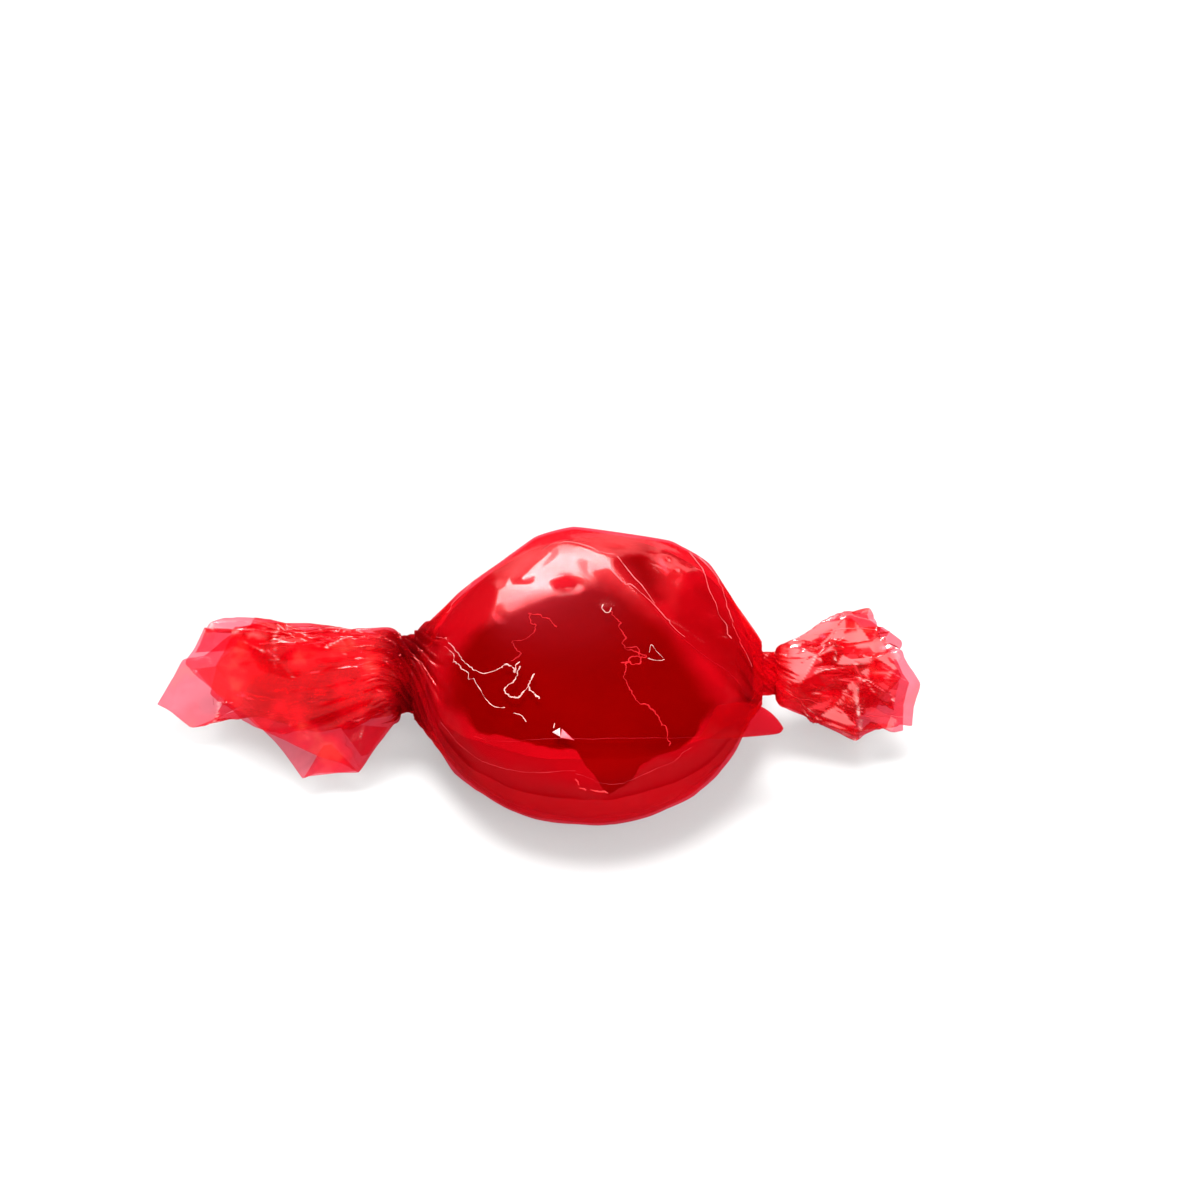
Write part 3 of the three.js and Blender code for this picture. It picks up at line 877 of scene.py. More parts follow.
def crumple_film(grid, angles, closed, seed, margin):
    """Push a sheet in and out along its normals: strongly in the fans, hardly on the body."""
    x = grid[:, :, 0]
    reach = np.abs(x) - NECK_X
    around = np.broadcast_to(angles[None, :] * CRUMPLE_RADIUS, x.shape)
    in_fan = smooth_step(reach, *FAN_GROWS)
    on_left = in_fan * (x < 0)
    on_right = in_fan * (x > 0)
    on_body = smooth_step(-reach, *BODY_GROWS)
    shoulder = on_body * smooth_step(np.abs(x), *SHOULDER_GROWS)
    long_folds = crumple(seed, *LONG_FOLDS, around, x, CRUMPLE_PERIOD)
    long_creases = crumple(seed + 1, *LONG_CREASES, around, x, CRUMPLE_PERIOD)
    short_folds = crumple(seed + 2, *SHORT_FOLDS, around, x, CRUMPLE_PERIOD)
    short_creases = crumple(seed + 3, *SHORT_CREASES, around, x, CRUMPLE_PERIOD)
    panels = crumple(PANEL_SEED, *TIGHT_PANELS, around, x, CRUMPLE_PERIOD)
    push = on_left * (LONG_PUSH[0] * long_folds + LONG_PUSH[1] * long_creases)
    push = push + on_right * (SHORT_PUSH[0] * short_folds + SHORT_PUSH[1] * short_creases)
    push = push + on_body * PANEL_PUSH * panels
    push = push + shoulder * (SHOULDER_PUSH[0] * panels + SHOULDER_PUSH[1] * short_creases)
    for path, height, width in CREASES:
        push = push + height * np.maximum(1 - distance_to(path, x, angles) / width, 0)
    for x0, degrees, radius, height in DIMPLES:
        away = distance_to([(x0, degrees), (x0 + 0.01, degrees)], x, angles)
        push = push + height * np.exp(-((away / radius) ** 2))
    for x0, degrees, radius, height in CRUMPLED_SPOTS:
        away = distance_to([(x0, degrees), (x0 + 0.01, degrees)], x, angles)
        push = push + height * short_creases * smooth_step(-away, -radius, -0.3 * radius)
    return keep_outside(grid + grid_normals(grid, closed) * push[:, :, None], margin)


# %% [markdown]
# The finish has to know things that only the shape can tell: where the film is stuck, where it is
# gathered, which facets are turned to the light and where it is bent to a ridge. The last two place
# a painted highlight, painted shade and painted glints. They are worked out once, as numbers at the
# points of the mesh, and kept there as attributes. Unlike a reflection they stay in place in every view.

# %% Work out what the finish needs
# fine gathers out of both necks: how many, how far into each fan, and the field that breaks them up
GATHER_LINES, GATHER_REACH, GATHER_BREAKS = 70, (15.0, 3.0), (1.3, 5.0)
# facets that face this way get a painted pale highlight, and those that turn far from it get painted shade
PAINTED_LIGHT_TOWARDS = (-0.25, -0.45, 0.857)
PAINTED_HIGHLIGHT_BORDER, PAINTED_SHADE_BORDER = (0.9, 0.93), (0.7, 0.8)
RIDGE_BEND = (0.5, 1.3)


def gathers(grid, angles, seed):
    """How densely the film is gathered, from 0 to 1: fine lines that run out of both necks."""
    x = grid[:, :, 0]
    around = np.broadcast_to(angles[None, :] * CRUMPLE_RADIUS, x.shape)
    broken = smooth_step(crumple(seed, *GATHER_BREAKS, around, x, CRUMPLE_PERIOD), -0.3, 0.4)
    lines = pleats_round(angles, seed, GATHER_LINES)[None, :] ** 2
    reach = np.abs(x) - NECK_X
    fading = smooth_step(reach / np.where(x < 0, *GATHER_REACH), 0.1, 1.0)
    return lines * broken * smooth_step(reach, -4.0, -0.5) * (1 - fading)


def facing_painted_light(grid, closed, border):
    """Which fan facets face the painted light's direction, 0 to 1, crisp; places painted highlight and
    shade.
    """
    lit = grid_normals(grid, closed) @ np.array(PAINTED_LIGHT_TOWARDS)
    return smooth_step(lit, *border) * smooth_step(np.abs(grid[:, :, 0]) - NECK_X, 0.5, 2.0)


def ridges(grid, closed):
    """How sharply the film is bent outwards at each point, from 0 to 1."""
    padded = np.concatenate([grid[:, -1:], grid, grid[:, :1]], axis=1)
    if not closed:
        padded[:, 0], padded[:, -1] = grid[:, 0], grid[:, -1]
    around = padded[:, 2:] + padded[:, :-2] - 2 * grid
    along = np.zeros(grid.shape)
    along[1:-1] = grid[2:] + grid[:-2] - 2 * grid[1:-1]
    normals = grid_normals(grid, closed)
    step_around = np.linalg.norm(padded[:, 2:] - padded[:, :-2], axis=2) / 2 + 1e-6
    step_along = np.linalg.norm(np.gradient(grid, axis=0), axis=2) + 1e-6
    bend = -np.sum(around * normals, axis=2) / step_around
    bend = bend - np.sum(along * normals, axis=2) / step_along
    return smooth_step(bend, *RIDGE_BEND) * smooth_step(np.abs(grid[:, :, 0]) - NECK_X, 2.0, 3.5)


# %% Make the inner turn
# how milky each piece is where it stands free: on the body, and in the fans
INNER_MILK, OUTER_MILK = (0.13, 0.13), (0.15, 0.14)


def film_mesh(name, grid, closed, milk, angles=None, loose=None):
    """A mesh of quads over a grid, in metres over the floor, with the finish's attributes."""
    rows, columns = grid.shape[:2]
    points = grid.reshape(-1, 3) + (0, 0, REST_HEIGHT)
    points[:, 2] = np.maximum(points[:, 2], FLOOR_GAP)
    faces = []
    for row in range(rows - 1):
        for column in range(columns if closed else columns - 1):
            a = row * columns + column
            b = row * columns + (column + 1) % columns
            faces.append((a, b, b + columns, a + columns))
    mesh = bpy.data.meshes.new(name)
    mesh.from_pydata((points * MM).tolist(), [], faces)
    mesh.shade_smooth()
    # a piece that touches no sugar is free all over, and one without angles isn't gathered
    loose = np.full(rows * columns, float(STUCK_REACH)) if loose is None else loose.ravel()
    gathered = np.zeros(rows * columns) if angles is None else gathers(grid, angles, rows).ravel()
    body_milk, fan_milk = milk
    finish = {
        "loose": loose,
        "milk": np.where(np.abs(grid[:, :, 0]) < NECK_X, body_milk, fan_milk).ravel(),
        "gather": gathered,
        # painted highlight and painted shade by how a facet faces, and how sharp its ridges are
        "painted_highlight": facing_painted_light(grid, closed, PAINTED_HIGHLIGHT_BORDER).ravel(),
        # painted shade on facets turned far from the painted light
        "painted_shade": 1 - facing_painted_light(grid, closed, PAINTED_SHADE_BORDER).ravel(),
        "ridge": ridges(grid, closed).ravel(),
    }
    for key, values in finish.items():
        mesh.attributes.new(key, "FLOAT", "POINT").data.foreach_set("value", values)
    piece = bpy.data.objects.new(name, mesh)
    bpy.context.collection.objects.link(piece)
    return piece


COLUMNS = 273
ALL_ROUND = np.linspace(0, 2 * np.pi, COLUMNS, endpoint=False)
inner_grid = lay_film(ALL_ROUND, lift=0.0, left_mouth=LEFT_MOUTH, spread=1.0, reach=1.0, seed=101)
inner_loose = looseness(inner_grid, ALL_ROUND)
inner_shape = crumple_film(inner_grid, ALL_ROUND, closed=True, seed=201, margin=0.05)
inner_turn = film_mesh("film_inner_turn", inner_shape, True, INNER_MILK, ALL_ROUND, inner_loose)
print("inner turn:", len(inner_turn.data.polygons), "quads")

# %% [markdown]
# The sheet goes round nearly twice. The second turn starts low on the front, runs below the candy,
# up its far side and over the top, and its free edge shows as a fine line a little above its start.

# %% Lay the second turn
OVERLAP_FROM, OVERLAP_TO, OVERLAP_STEP = -183, 163, 0.22
SECOND_ROUND = np.radians(np.linspace(OVERLAP_FROM, OVERLAP_TO, 263))
outer_grid = lay_film(
    SECOND_ROUND, lift=OVERLAP_STEP, left_mouth=OUTER_LEFT_MOUTH, spread=1.04, reach=0.93, seed=103
)
outer_loose = looseness(outer_grid, SECOND_ROUND)
outer_shape = crumple_film(outer_grid, SECOND_ROUND, closed=False, seed=301, margin=0.12)
outer_turn = film_mesh("film_outer_turn", outer_shape, False, OUTER_MILK, SECOND_ROUND, outer_loose)
print("outer turn:", len(outer_turn.data.polygons), "quads")

# %% [markdown]
# Inside each fan, folds of the same sheet lie deeper and end sooner. They make the middle of a fan
# darker than its edge, which is a single layer.

# %% Lay the folds inside the fans
FOLD_ROWS_ON_BODY, FOLDS_MARGIN, FOLDS_MILK = 24, 0.03, (0.05, 0.13)
# how much narrower than the turns they are at the neck, and how deep they are
FOLDS_NARROWER, FOLDS_PULL = (1, 0.8, 0.8), 0.7


def inner_folds(name, fan, spread, reach, seed):
    """A closed ring of film inside a fan, from the neck out."""
    shares = np.linspace(0, 1, NECK_ROWS)
    neck = np.array([neck_ring(fan, ALL_ROUND, share) for share in shares])
    cone = body_rows(ALL_ROUND, 0.0)[:: fan["side"]][-FOLD_ROWS_ON_BODY:]
    deeper = fan | {"folds": (fan["folds"][0], fan["folds"][1], FOLDS_PULL)}
    within = np.concatenate([cone, neck]) * np.array(FOLDS_NARROWER)
    rows = np.concatenate([within, fan_rows(deeper, ALL_ROUND, spread, reach, seed)])
    rows = rows[:: fan["side"]]
    crumpled = crumple_film(rows, ALL_ROUND, closed=True, seed=seed + 50, margin=FOLDS_MARGIN)
    return film_mesh(name, crumpled, True, FOLDS_MILK, ALL_ROUND)


outer_left_fan = LEFT_FAN | {"mouth": OUTER_LEFT_MOUTH}
left_folds = inner_folds("film_left_folds", outer_left_fan, spread=0.85, reach=0.88, seed=511)
right_folds = inner_folds("film_right_folds", RIGHT_FAN, spread=0.7, reach=0.85, seed=611)
print("folds:", len(left_folds.data.polygons), "and", len(right_folds.data.polygons), "quads")

# %% [markdown]
# A corner of the outer turn came free when the candy was wrapped. It stands off the front right
# shoulder as a small pointed tongue, folded over itself, so it is three layers thick.

# %% Shape the loose corner
CORNER_LOW = [(8.0, -9.1, 2.8), (11.0, -7.6, 1.3), (13.8, -6.2, 0.1)]
CORNER_HIGH = [(9.4, -6.7, 3.8), (12.5, -4.9, 1.9), (14.5, -5.6, 0.1)]
CORNER_LAYERS, CORNER_GAP, CORNER_MILK = 3, 0.1, (0.06, 0.06)
# which way the layers are stacked, and how the sheet bulges halfway up
CORNER_STACK, CORNER_BULGE = (0, -0.6, 0.8), (0.1, -0.25, 0.15)


def arc_through(points, share):
    """A smooth curve through three points."""
    first, middle, last = (np.array(point) for point in points)
    a, b, c = (1 - share) * (1 - 2 * share), 4 * share * (1 - share), share * (2 * share - 1)
    return a * first + b * middle + c * last


def loose_corner():
    """Three sheets between a low and a high edge."""
    sheets = []
    for layer in range(CORNER_LAYERS):
        rows = []
        for across in np.linspace(0, 1, 40):
            low, high = arc_through(CORNER_LOW, across), arc_through(CORNER_HIGH, across)
            up = np.linspace(0, 1, 26)[:, None]
            bulge = np.sin(np.pi * up) * np.array(CORNER_BULGE)
            rows.append(low + (high - low) * up + bulge + np.array(CORNER_STACK) * CORNER_GAP * layer)
        sheets.append(film_mesh(f"corner_{layer}", np.array(rows), False, CORNER_MILK))
    return sheets


def join_pieces(name, pieces):
    """One piece out of several."""
    joined = pieces[0]
    with bpy.context.temp_override(active_object=joined, selected_editable_objects=pieces):
        bpy.ops.object.join()
    joined.name = name
    return joined


corner = join_pieces("film_loose_corner", loose_corner())
print("loose corner:", len(corner.data.polygons), "quads")

# %% [markdown]
# The lower corners of the left fan are folded back on themselves. Each fold is a flat flap with
# straight edges, and looks deeper pink, because there the film is double.

# %% Fold the corners of the left fan
# four corners of each flap, in mm: along, back from the axis, up from the axis
TIP_FLAPS = [
    [(-21.2, -6.5, -4.3), (-17.3, -5.9, -4.3), (-19.3, -3.7, -3.8), (-19.9, -3.8, -3.8)],
    [(-18.9, -2.1, -3.2), (-15.1, -2.5, -3.2), (-16.5, -4.6, -3.9), (-17.0, -4.8, -3.9)],
    [(-28.4, -0.8, -4.3), (-26.0, 0.3, -3.6), (-26.9, 1.8, -3.8), (-27.4, 1.8, -3.8)],
]


def tip_flap(number, corners):
    """A flat flap between four corners, a little bent."""
    a, b, c, d = (np.array(corner) for corner in corners)
    across, up = np.meshgrid(np.linspace(0, 1, 16), np.linspace(0, 1, 12))
    across, up = across[:, :, None], up[:, :, None]
    grid = (a * (1 - across) + b * across) * (1 - up) + (d * (1 - across) + c * across) * up
    grid = grid + np.array([0, 0, 0.25]) * np.sin(np.pi * across) * np.sin(np.pi * up)
    return film_mesh(f"flap_{number}", grid, False, INNER_MILK)


flat_flaps = [tip_flap(number, corners) for number, corners in enumerate(TIP_FLAPS)]
flaps = join_pieces("film_tip_flaps", flat_flaps)
print("flaps:", len(flaps.data.polygons), "quads")

# %% [markdown]
# ## Lines where the film meets the sugar
#
# Where stuck film comes off the sugar, the border shows as a fine wandering line, bright like a
# thread; here it is a painted highlight, a thin thread in a pale or light red colour. Some lie on the
# outside, as hair-thin creases with painted glints, and some under the film. They follow paths
# over a surface, so Geometry Nodes draw them: each path is cut fine, moved aside by noise, laid on
# the film by Geometry Proximity, and given a thin round section.

# %% Set down the paths of the lines
# paths in plan, in mm from the middle; the height comes from the dome, or is a third number
LEFT_THREAD = [
    (-10.9, 0.8), (-10.2, -0.8), (-9.7, -1.7), (-9.1, -3.1), (-8.4, -4.2), (-7.3, -5.1), (-6.1, -4.9),
]
LEFT_KNOT = [(-6.1, -4.9), (-5.7, -4.8), (-5.3, -5.1), (-5.2, -5.5), (-5.1, -5.0), (-4.9, -4.7)]
LEFT_LOOP = [
    (-4.8, -5.0), (-5.0, -5.7), (-5.3, -6.2), (-5.8, -6.5), (-5.9, -6.8), (-5.5, -7.2),
    (-5.0, -7.4), (-4.5, -7.0), (-4.2, -6.6),
]
LEFT_HOOK = [(-3.8, -5.8), (-4.0, -6.2), (-4.2, -6.7), (-3.9, -7.1), (-3.7, -7.4), (-3.4, -7.7)]
LOW_THREAD = [
    (-10.4, -1.0), (-9.7, -2.5), (-9.0, -4.0), (-8.1, -5.4), (-7.2, -7.0), (-6.6, -7.6), (-5.8, -7.9),
]
LOW_TAIL = [(-5.2, -8.4), (-4.6, -8.7), (-4.3, -9.1)]
TICK = [(-2.3, -9.4), (-2.4, -9.7)]
LOW_SPARKS = [
    [(-0.9, -12.1, 2.0), (-0.7, -12.2, 1.6)],
    [(-0.6, -12.3, 1.1), (-0.2, -12.3, 0.8)],
    [(0.3, -12.3, 1.0), (0.7, -12.3, 0.8), (1.3, -12.3, 0.6)],
]
SMALL_TRIANGLE = [(4.4, -3.9), (4.6, -3.2), (4.9, -3.7), (5.4, -4.2)]
TRIANGLE_FOOT = [(4.3, -4.4), (5.0, -4.5), (5.5, -4.3)]
SMALL_RING = [(1.2, 0.5), (1.1, 0.1), (1.3, -0.3), (1.6, -0.2), (1.7, 0.2)]
RIGHT_CREASE = [(4.7, 0.3), (5.9, -1.5), (6.8, -2.3), (8.7, -3.6), (11.4, -3.9)]
CREASE_LINES = [
    LEFT_THREAD, LOW_THREAD, LOW_TAIL, TICK, SMALL_TRIANGLE, TRIANGLE_FOOT, SMALL_RING,
]
KNOT_LINES = [LEFT_KNOT, LEFT_LOOP, LEFT_HOOK]
# painted glints on ridges of the film: on the body, and along the top of the left fan, where the height is
# given
RIM_LINES = [
    [(1.6, 4.3), (2.8, 2.6), (3.9, 1.3), (4.7, 0.3), (5.9, -1.5), (6.8, -2.3)],
    [(2.1, 5.3), (3.0, 3.5), (3.9, 2.2), (4.7, 0.5)],
    [(8.0, 7.6), (9.2, 5.3), (10.3, 2.6), (11.2, 0.0), (12.1, -1.2)],
    [(7.3, 7.9), (8.4, 4.6), (9.5, 1.8), (10.4, -0.7)],
    [(-10.2, 2.4), (-8.3, 4.5), (-6.3, 6.0), (-5.0, 7.4)],
    [(-3.2, 6.5), (-2.3, 7.4), (-1.0, 7.2), (0.9, 6.0), (2.0, 5.7)],
    [(-22.7, 3.0, 3.0), (-19.8, 3.6, 3.2), (-17.0, 3.5, 3.0)],
    [(-19.2, 2.6, 3.0), (-18.3, 2.9, 3.0), (-17.1, 2.8, 3.0)],
    [(15.2, 1.9, 1.5), (17.4, 2.1, 2.2), (19.7, 2.3, 2.4), (22.0, 2.5, 2.4)],
    [
        (13.6, -0.6, 0.2), (15.2, -1.2, -0.5), (17.8, -2.0, -1.4), (20.5, -2.2, -2.0),
        (23.8, -2.4, -2.3),
    ],
    [(15.6, -1.2, -0.6), (16.2, -2.0, -1.7), (16.8, -2.6, -2.7)],
]
# dark folds in the single film of the left fan's corners
TIP_LINES = [
    [(-29.4, 3.2, -3.5), (-29.1, 1.8, -3.9), (-28.6, 0.3, -4.2)],
    [(-24.3, -1.2, -3.2), (-22.0, -2.5, -3.5), (-19.6, -3.8, -3.9)],
    [(-18.7, -2.2, -3.4), (-17.9, -3.8, -3.9), (-17.2, -5.3, -4.3)],
]
STUCK_LEFT = [
    (-2.4, -0.9), (-3.6, 0.4), (-4.4, 0.6), (-4.3, -0.2), (-3.9, -0.9), (-4.5, -2.0), (-5.4, -2.1),
    (-5.4, -2.9), (-4.9, -3.3), (-5.6, -4.0),
]
STUCK_RIGHT = [
    (1.6, 0.8), (2.3, -0.4), (2.7, -2.2), (2.7, -2.9), (4.3, -3.7), (3.0, -4.1), (2.8, -5.7),
    (3.4, -7.3), (4.9, -8.3), (6.0, -9.9),
]
STUCK_BRANCH = [(2.7, -2.9), (3.6, -3.0), (3.7, -4.4), (2.4, -4.4)]
LOW_LEFT_CREASE = [(-10.6, -6.2), (-10.1, -7.0), (-7.6, -9.7), (-4.8, -11.2), (-0.9, -11.9)]
LOW_RIGHT_CREASE = [(-0.9, -12.0), (0.6, -12.2), (2.1, -12.1), (4.2, -11.4), (7.4, -9.5)]
STUCK_LINES = [STUCK_LEFT, STUCK_RIGHT, STUCK_BRANCH] + LOW_SPARKS
FREE_EDGE = [(-8.2, -8.6), (-6.4, -9.6), (-2.0, -10.3), (3.0, -10.2), (8.0, -8.8)]
FOLD_LINES = [RIGHT_CREASE, FREE_EDGE, LOW_LEFT_CREASE, LOW_RIGHT_CREASE]
print("paths:", sum(map(len, (CREASE_LINES, KNOT_LINES, STUCK_LINES, FOLD_LINES, TIP_LINES, RIM_LINES))))

# %% [markdown]
# A crease glints because it bends the film sharply, so that some part of it mirrors a lamp. Here the
# glint is painted: the threads are pale and glossy, redder where they lie under the film, and a patchy
# painted brightness breaks them up into sparks. Folds in single film are dark instead, because there
# the film is double.

# %% Colour the threads
def finish_thread(tree, colour, roughness):
    """A thread in one colour with an uneven painted brightness along it; the pale ones are painted glints.
    """
    place = node(tree, "ShaderNodeTexCoord").outputs["Object"]
    patchy = shaded(tree, colour, noise(tree, place, 800.0, 1.0), 0.3, 1.2)
    thread = node(tree, "ShaderNodeBsdfPrincipled", base_color=patchy, roughness=roughness)
    tree.links.new(thread.outputs[0], tree.nodes["Material Output"].inputs[0])


THREAD_FINISHES = {
    # colour and roughness; the pale and light red colours are painted glints
    "crease_glint": ((0.9, 0.5, 0.46), 0.3),
    "stuck_border": ((1.0, 0.3, 0.25), 0.4),
    "fold_line": ((0.5, 0.02, 0.03), 0.4),
    "rim_glint": ((0.75, 0.11, 0.12), 0.4),
}
thread_materials = {}
for name, (colour, roughness) in THREAD_FINISHES.items():
    thread_materials[name], thread_tree = new_material(name)
    finish_thread(thread_tree, colour, roughness)
print("threads:", sorted(thread_materials))

# %% Lay threads along the paths
def line_tree(name, sizes, surface, material):
    """Fine threads along paths, wandering over a surface."""
    tree, keys, size = start_rule(name, sizes)
    paths = node(tree, "GeometryNodeMeshToCurve", mesh=size["Geometry"]).outputs[0]
    bent = node(tree, "GeometryNodeCurveSplineType", {"spline_type": "CATMULL_ROM"}, curve=paths)
    fine = node(tree, "GeometryNodeResampleCurve", {"mode": "LENGTH"}, length=size["step"])
    feed(tree, fine.inputs["Curve"], bent.outputs[0])
    wander = node(tree, "ShaderNodeTexNoise", detail=3.0, scale=size["busy"])
    centred = node(tree, "ShaderNodeVectorMath", {"operation": "SUBTRACT"})
    feed(tree, centred.inputs[0], wander.outputs["Color"])
    centred.inputs[1].default_value = (0.5, 0.5, 0.5)
    aside = node(tree, "ShaderNodeVectorMath", {"operation": "SCALE"}, scale=size["wander"])
    feed(tree, aside.inputs[0], centred.outputs[0])
    moved = node(tree, "GeometryNodeSetPosition", geometry=fine.outputs[0], offset=aside.outputs[0])
    target = node(tree, "GeometryNodeObjectInfo", {"transform_space": "ORIGINAL"}, object=surface)
    nearest = node(tree, "GeometryNodeProximity", {"target_element": "FACES"})
    feed(tree, nearest.inputs[0], target.outputs["Geometry"])
    laid = node(tree, "GeometryNodeSetPosition", geometry=moved.outputs[0])
    feed(tree, laid.inputs["Position"], nearest.outputs["Position"])
    section = node(tree, "GeometryNodeCurvePrimitiveCircle", resolution=6)
    feed(tree, section.inputs["Radius"], size["thickness"])
    swell = node(tree, "ShaderNodeTexNoise", detail=1.0, scale=size["busy"])
    width = node(tree, "ShaderNodeMapRange", from_min=0.3, from_max=0.7, to_min=0.2, to_max=1.3)
    feed(tree, width.inputs["Value"], swell.outputs["Fac"])
    tube = node(tree, "GeometryNodeCurveToMesh", curve=laid.outputs[0], scale=width.outputs[0])
    feed(tree, tube.inputs["Profile Curve"], section.outputs[0])
    tube.inputs["Fill Caps"].default_value = True
    end_rule(tree, tube.outputs[0], material)
    return tree, keys


def dome_height(x, y):
    """How high the candy's dome stands over the axis at a place in plan."""
    level = np.hypot(x, y) / plan_radius(math.degrees(math.atan2(y, x)))
    return SWEET_HALF_HEIGHT * (1 - min(level, 0.99) ** DOME_POWER) ** (1 / RIM_POWER)


def draw_lines(name, paths, sizes, surface, material):
    """Threads along plan paths, laid on a surface; a third coordinate gives a height over the axis."""
    points, edges = [], []
    for path in paths:
        for i, (x, y, *given) in enumerate(path):
            height = given[0] if given else dome_height(x, y)
            if i:
                edges.append((len(points) - 1, len(points)))
            points.append((x * MM, y * MM, (height + REST_HEIGHT) * MM))
    seed_mesh = bpy.data.meshes.new(name + "_paths")
    seed_mesh.from_pydata(points, edges, [])
    tree, keys = line_tree(name + "_rule", sizes, surface, material)
    return grow_mesh(name, tree, keys, sizes, seed_mesh)


# %% Draw all the lines
LINES = [
    # name, paths, what they are laid on, and the finish
    ("film_crease_lines", CREASE_LINES, outer_turn, "crease_glint"),
    ("film_knot_lines", KNOT_LINES, outer_turn, "crease_glint"),
    ("film_stuck_lines", STUCK_LINES, candy, "stuck_border"),
    ("film_fold_lines", FOLD_LINES + TIP_LINES, inner_turn, "fold_line"),
    ("film_rim_lines", RIM_LINES, outer_turn, "rim_glint"),
]
LINE_SIZES = {
    # length of a step, how far and how busily they wander, and the radius
    "film_crease_lines": (0.06 * MM, 0.2 * MM, 1500.0, 0.03 * MM),
    "film_knot_lines": (0.04 * MM, 0.5 * MM, 3200.0, 0.055 * MM),
    "film_stuck_lines": (0.06 * MM, 1.1 * MM, 1300.0, 0.06 * MM),
    "film_fold_lines": (0.1 * MM, 0.2 * MM, 600.0, 0.022 * MM),
    "film_rim_lines": (0.1 * MM, 0.3 * MM, 500.0, 0.035 * MM),
}
for name, paths, surface, finish in LINES:
    sizes = dict(zip(("step", "wander", "busy", "thickness"), LINE_SIZES[name]))
    threads = draw_lines(name, paths, sizes, surface, thread_materials[finish])
    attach(threads, "root")
    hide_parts("wrapped_sweet")
    print(name, len(threads.data.polygons), "faces")

# %% [markdown]
# Beside the threads, the end of a fold is pinched up into two tiny facets, painted white and pink as
# glints. Each is a flat pyramid of three sides, set on the film.

# %% Pinch up the tiny facets
CHIPS = [
    # three corners in plan, and the colour of its painted glint
    ([(-2.5, -9.95), (-1.9, -10.25), (-1.95, -9.75)], (1.0, 0.6, 0.6)),
    ([(-1.9, -10.3), (-0.9, -10.4), (-1.8, -9.8)], (1.0, 0.2, 0.24)),
]
CHIP_RISE = 0.12
CHIP_SIDES = [(0, 2, 1), (0, 1, 3), (1, 2, 3), (2, 0, 3)]


def pinched_chip(number, corners, colour):
    """A three-sided pyramid that stands on the film, in the colour of a painted glint."""
    skin = BVHTree.FromObject(outer_turn, bpy.context.evaluated_depsgraph_get())
    feet = []
    for x, y in corners:
        feet.append(skin.find_nearest(Vector((x, y, dome_height(x, y) + REST_HEIGHT)) * MM)[0])
    tip = (feet[0] + feet[1] + feet[2]) / 3 + Vector((0, -0.7, 0.7)) * CHIP_RISE * MM
    mesh = bpy.data.meshes.new(f"chip_{number}")
    mesh.from_pydata([list(point) for point in feet + [tip]], [], CHIP_SIDES)
    material, tree = new_material(f"chip_glint_{number}")
    finish_thread(tree, colour, 0.3)
    mesh.materials.append(material)
    chip = bpy.data.objects.new(f"chip_{number}", mesh)
    bpy.context.collection.objects.link(chip)
    return chip


pinched = [pinched_chip(number, corners, colour) for number, (corners, colour) in enumerate(CHIPS)]
chips = join_pieces("film_chips", pinched)
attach(chips, "root")
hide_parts("wrapped_sweet")
print("chips:", len(chips.data.polygons), "facets")

# %% [markdown]
# ## The film's finish
#
# Thin dyed film lets the light through once and tints it, and each further layer tints it again:
# one layer over white is pink, two are rose and four are deep red. A Transparent shader with a tint
# adds up just like that. Its gloss grows at a grazing look, so the share of Glossy follows the
# Facing value, which is the same on both sides of a sheet without thickness.
#
# Where the film sticks to the sugar it hardly mirrors, and the red is deep and dark. Where it stands
# free it mirrors more and looks a little milky. In the fans some facets get a painted pale highlight
# and some painted shade, and the sharp ridges get painted glints; the attributes say which. The low
# part of the body gets painted shade, and the necks are darker, partly as painted shade. For the
# lamps' shadow rays the film is a plain grey filter, so its shadow is grey as in the photograph.

# %% Say where on the film a point lies
# how far the border of a stuck patch wanders, in mm, and its blur: low in front, and elsewhere
BORDER_WANDER, BORDER_BLUR = 1.4, (0.05, 1.35)
# how much the right neck has of the left one's darker tint, which is partly painted shade
RIGHT_NECK_SHARE = 0.15


def painted(tree, name):
    """One of the attributes that were worked out from the shape."""
    return node(tree, "ShaderNodeAttribute", {"attribute_name": name}).outputs["Fac"]


def between(tree, share, first, second):
    """A number between two others."""
    return node(tree, "ShaderNodeMix", factor=share, a=first, b=second).outputs[0]


def blend_colours(tree, share, first, second):
    """Mix two colours; a share of 1 is all second."""
    mixed = node(tree, "ShaderNodeMix", {"data_type": "RGBA"}, factor=share)
    feed(tree, mixed.inputs[6], first)
    feed(tree, mixed.inputs[7], second)
    return mixed.outputs[2]


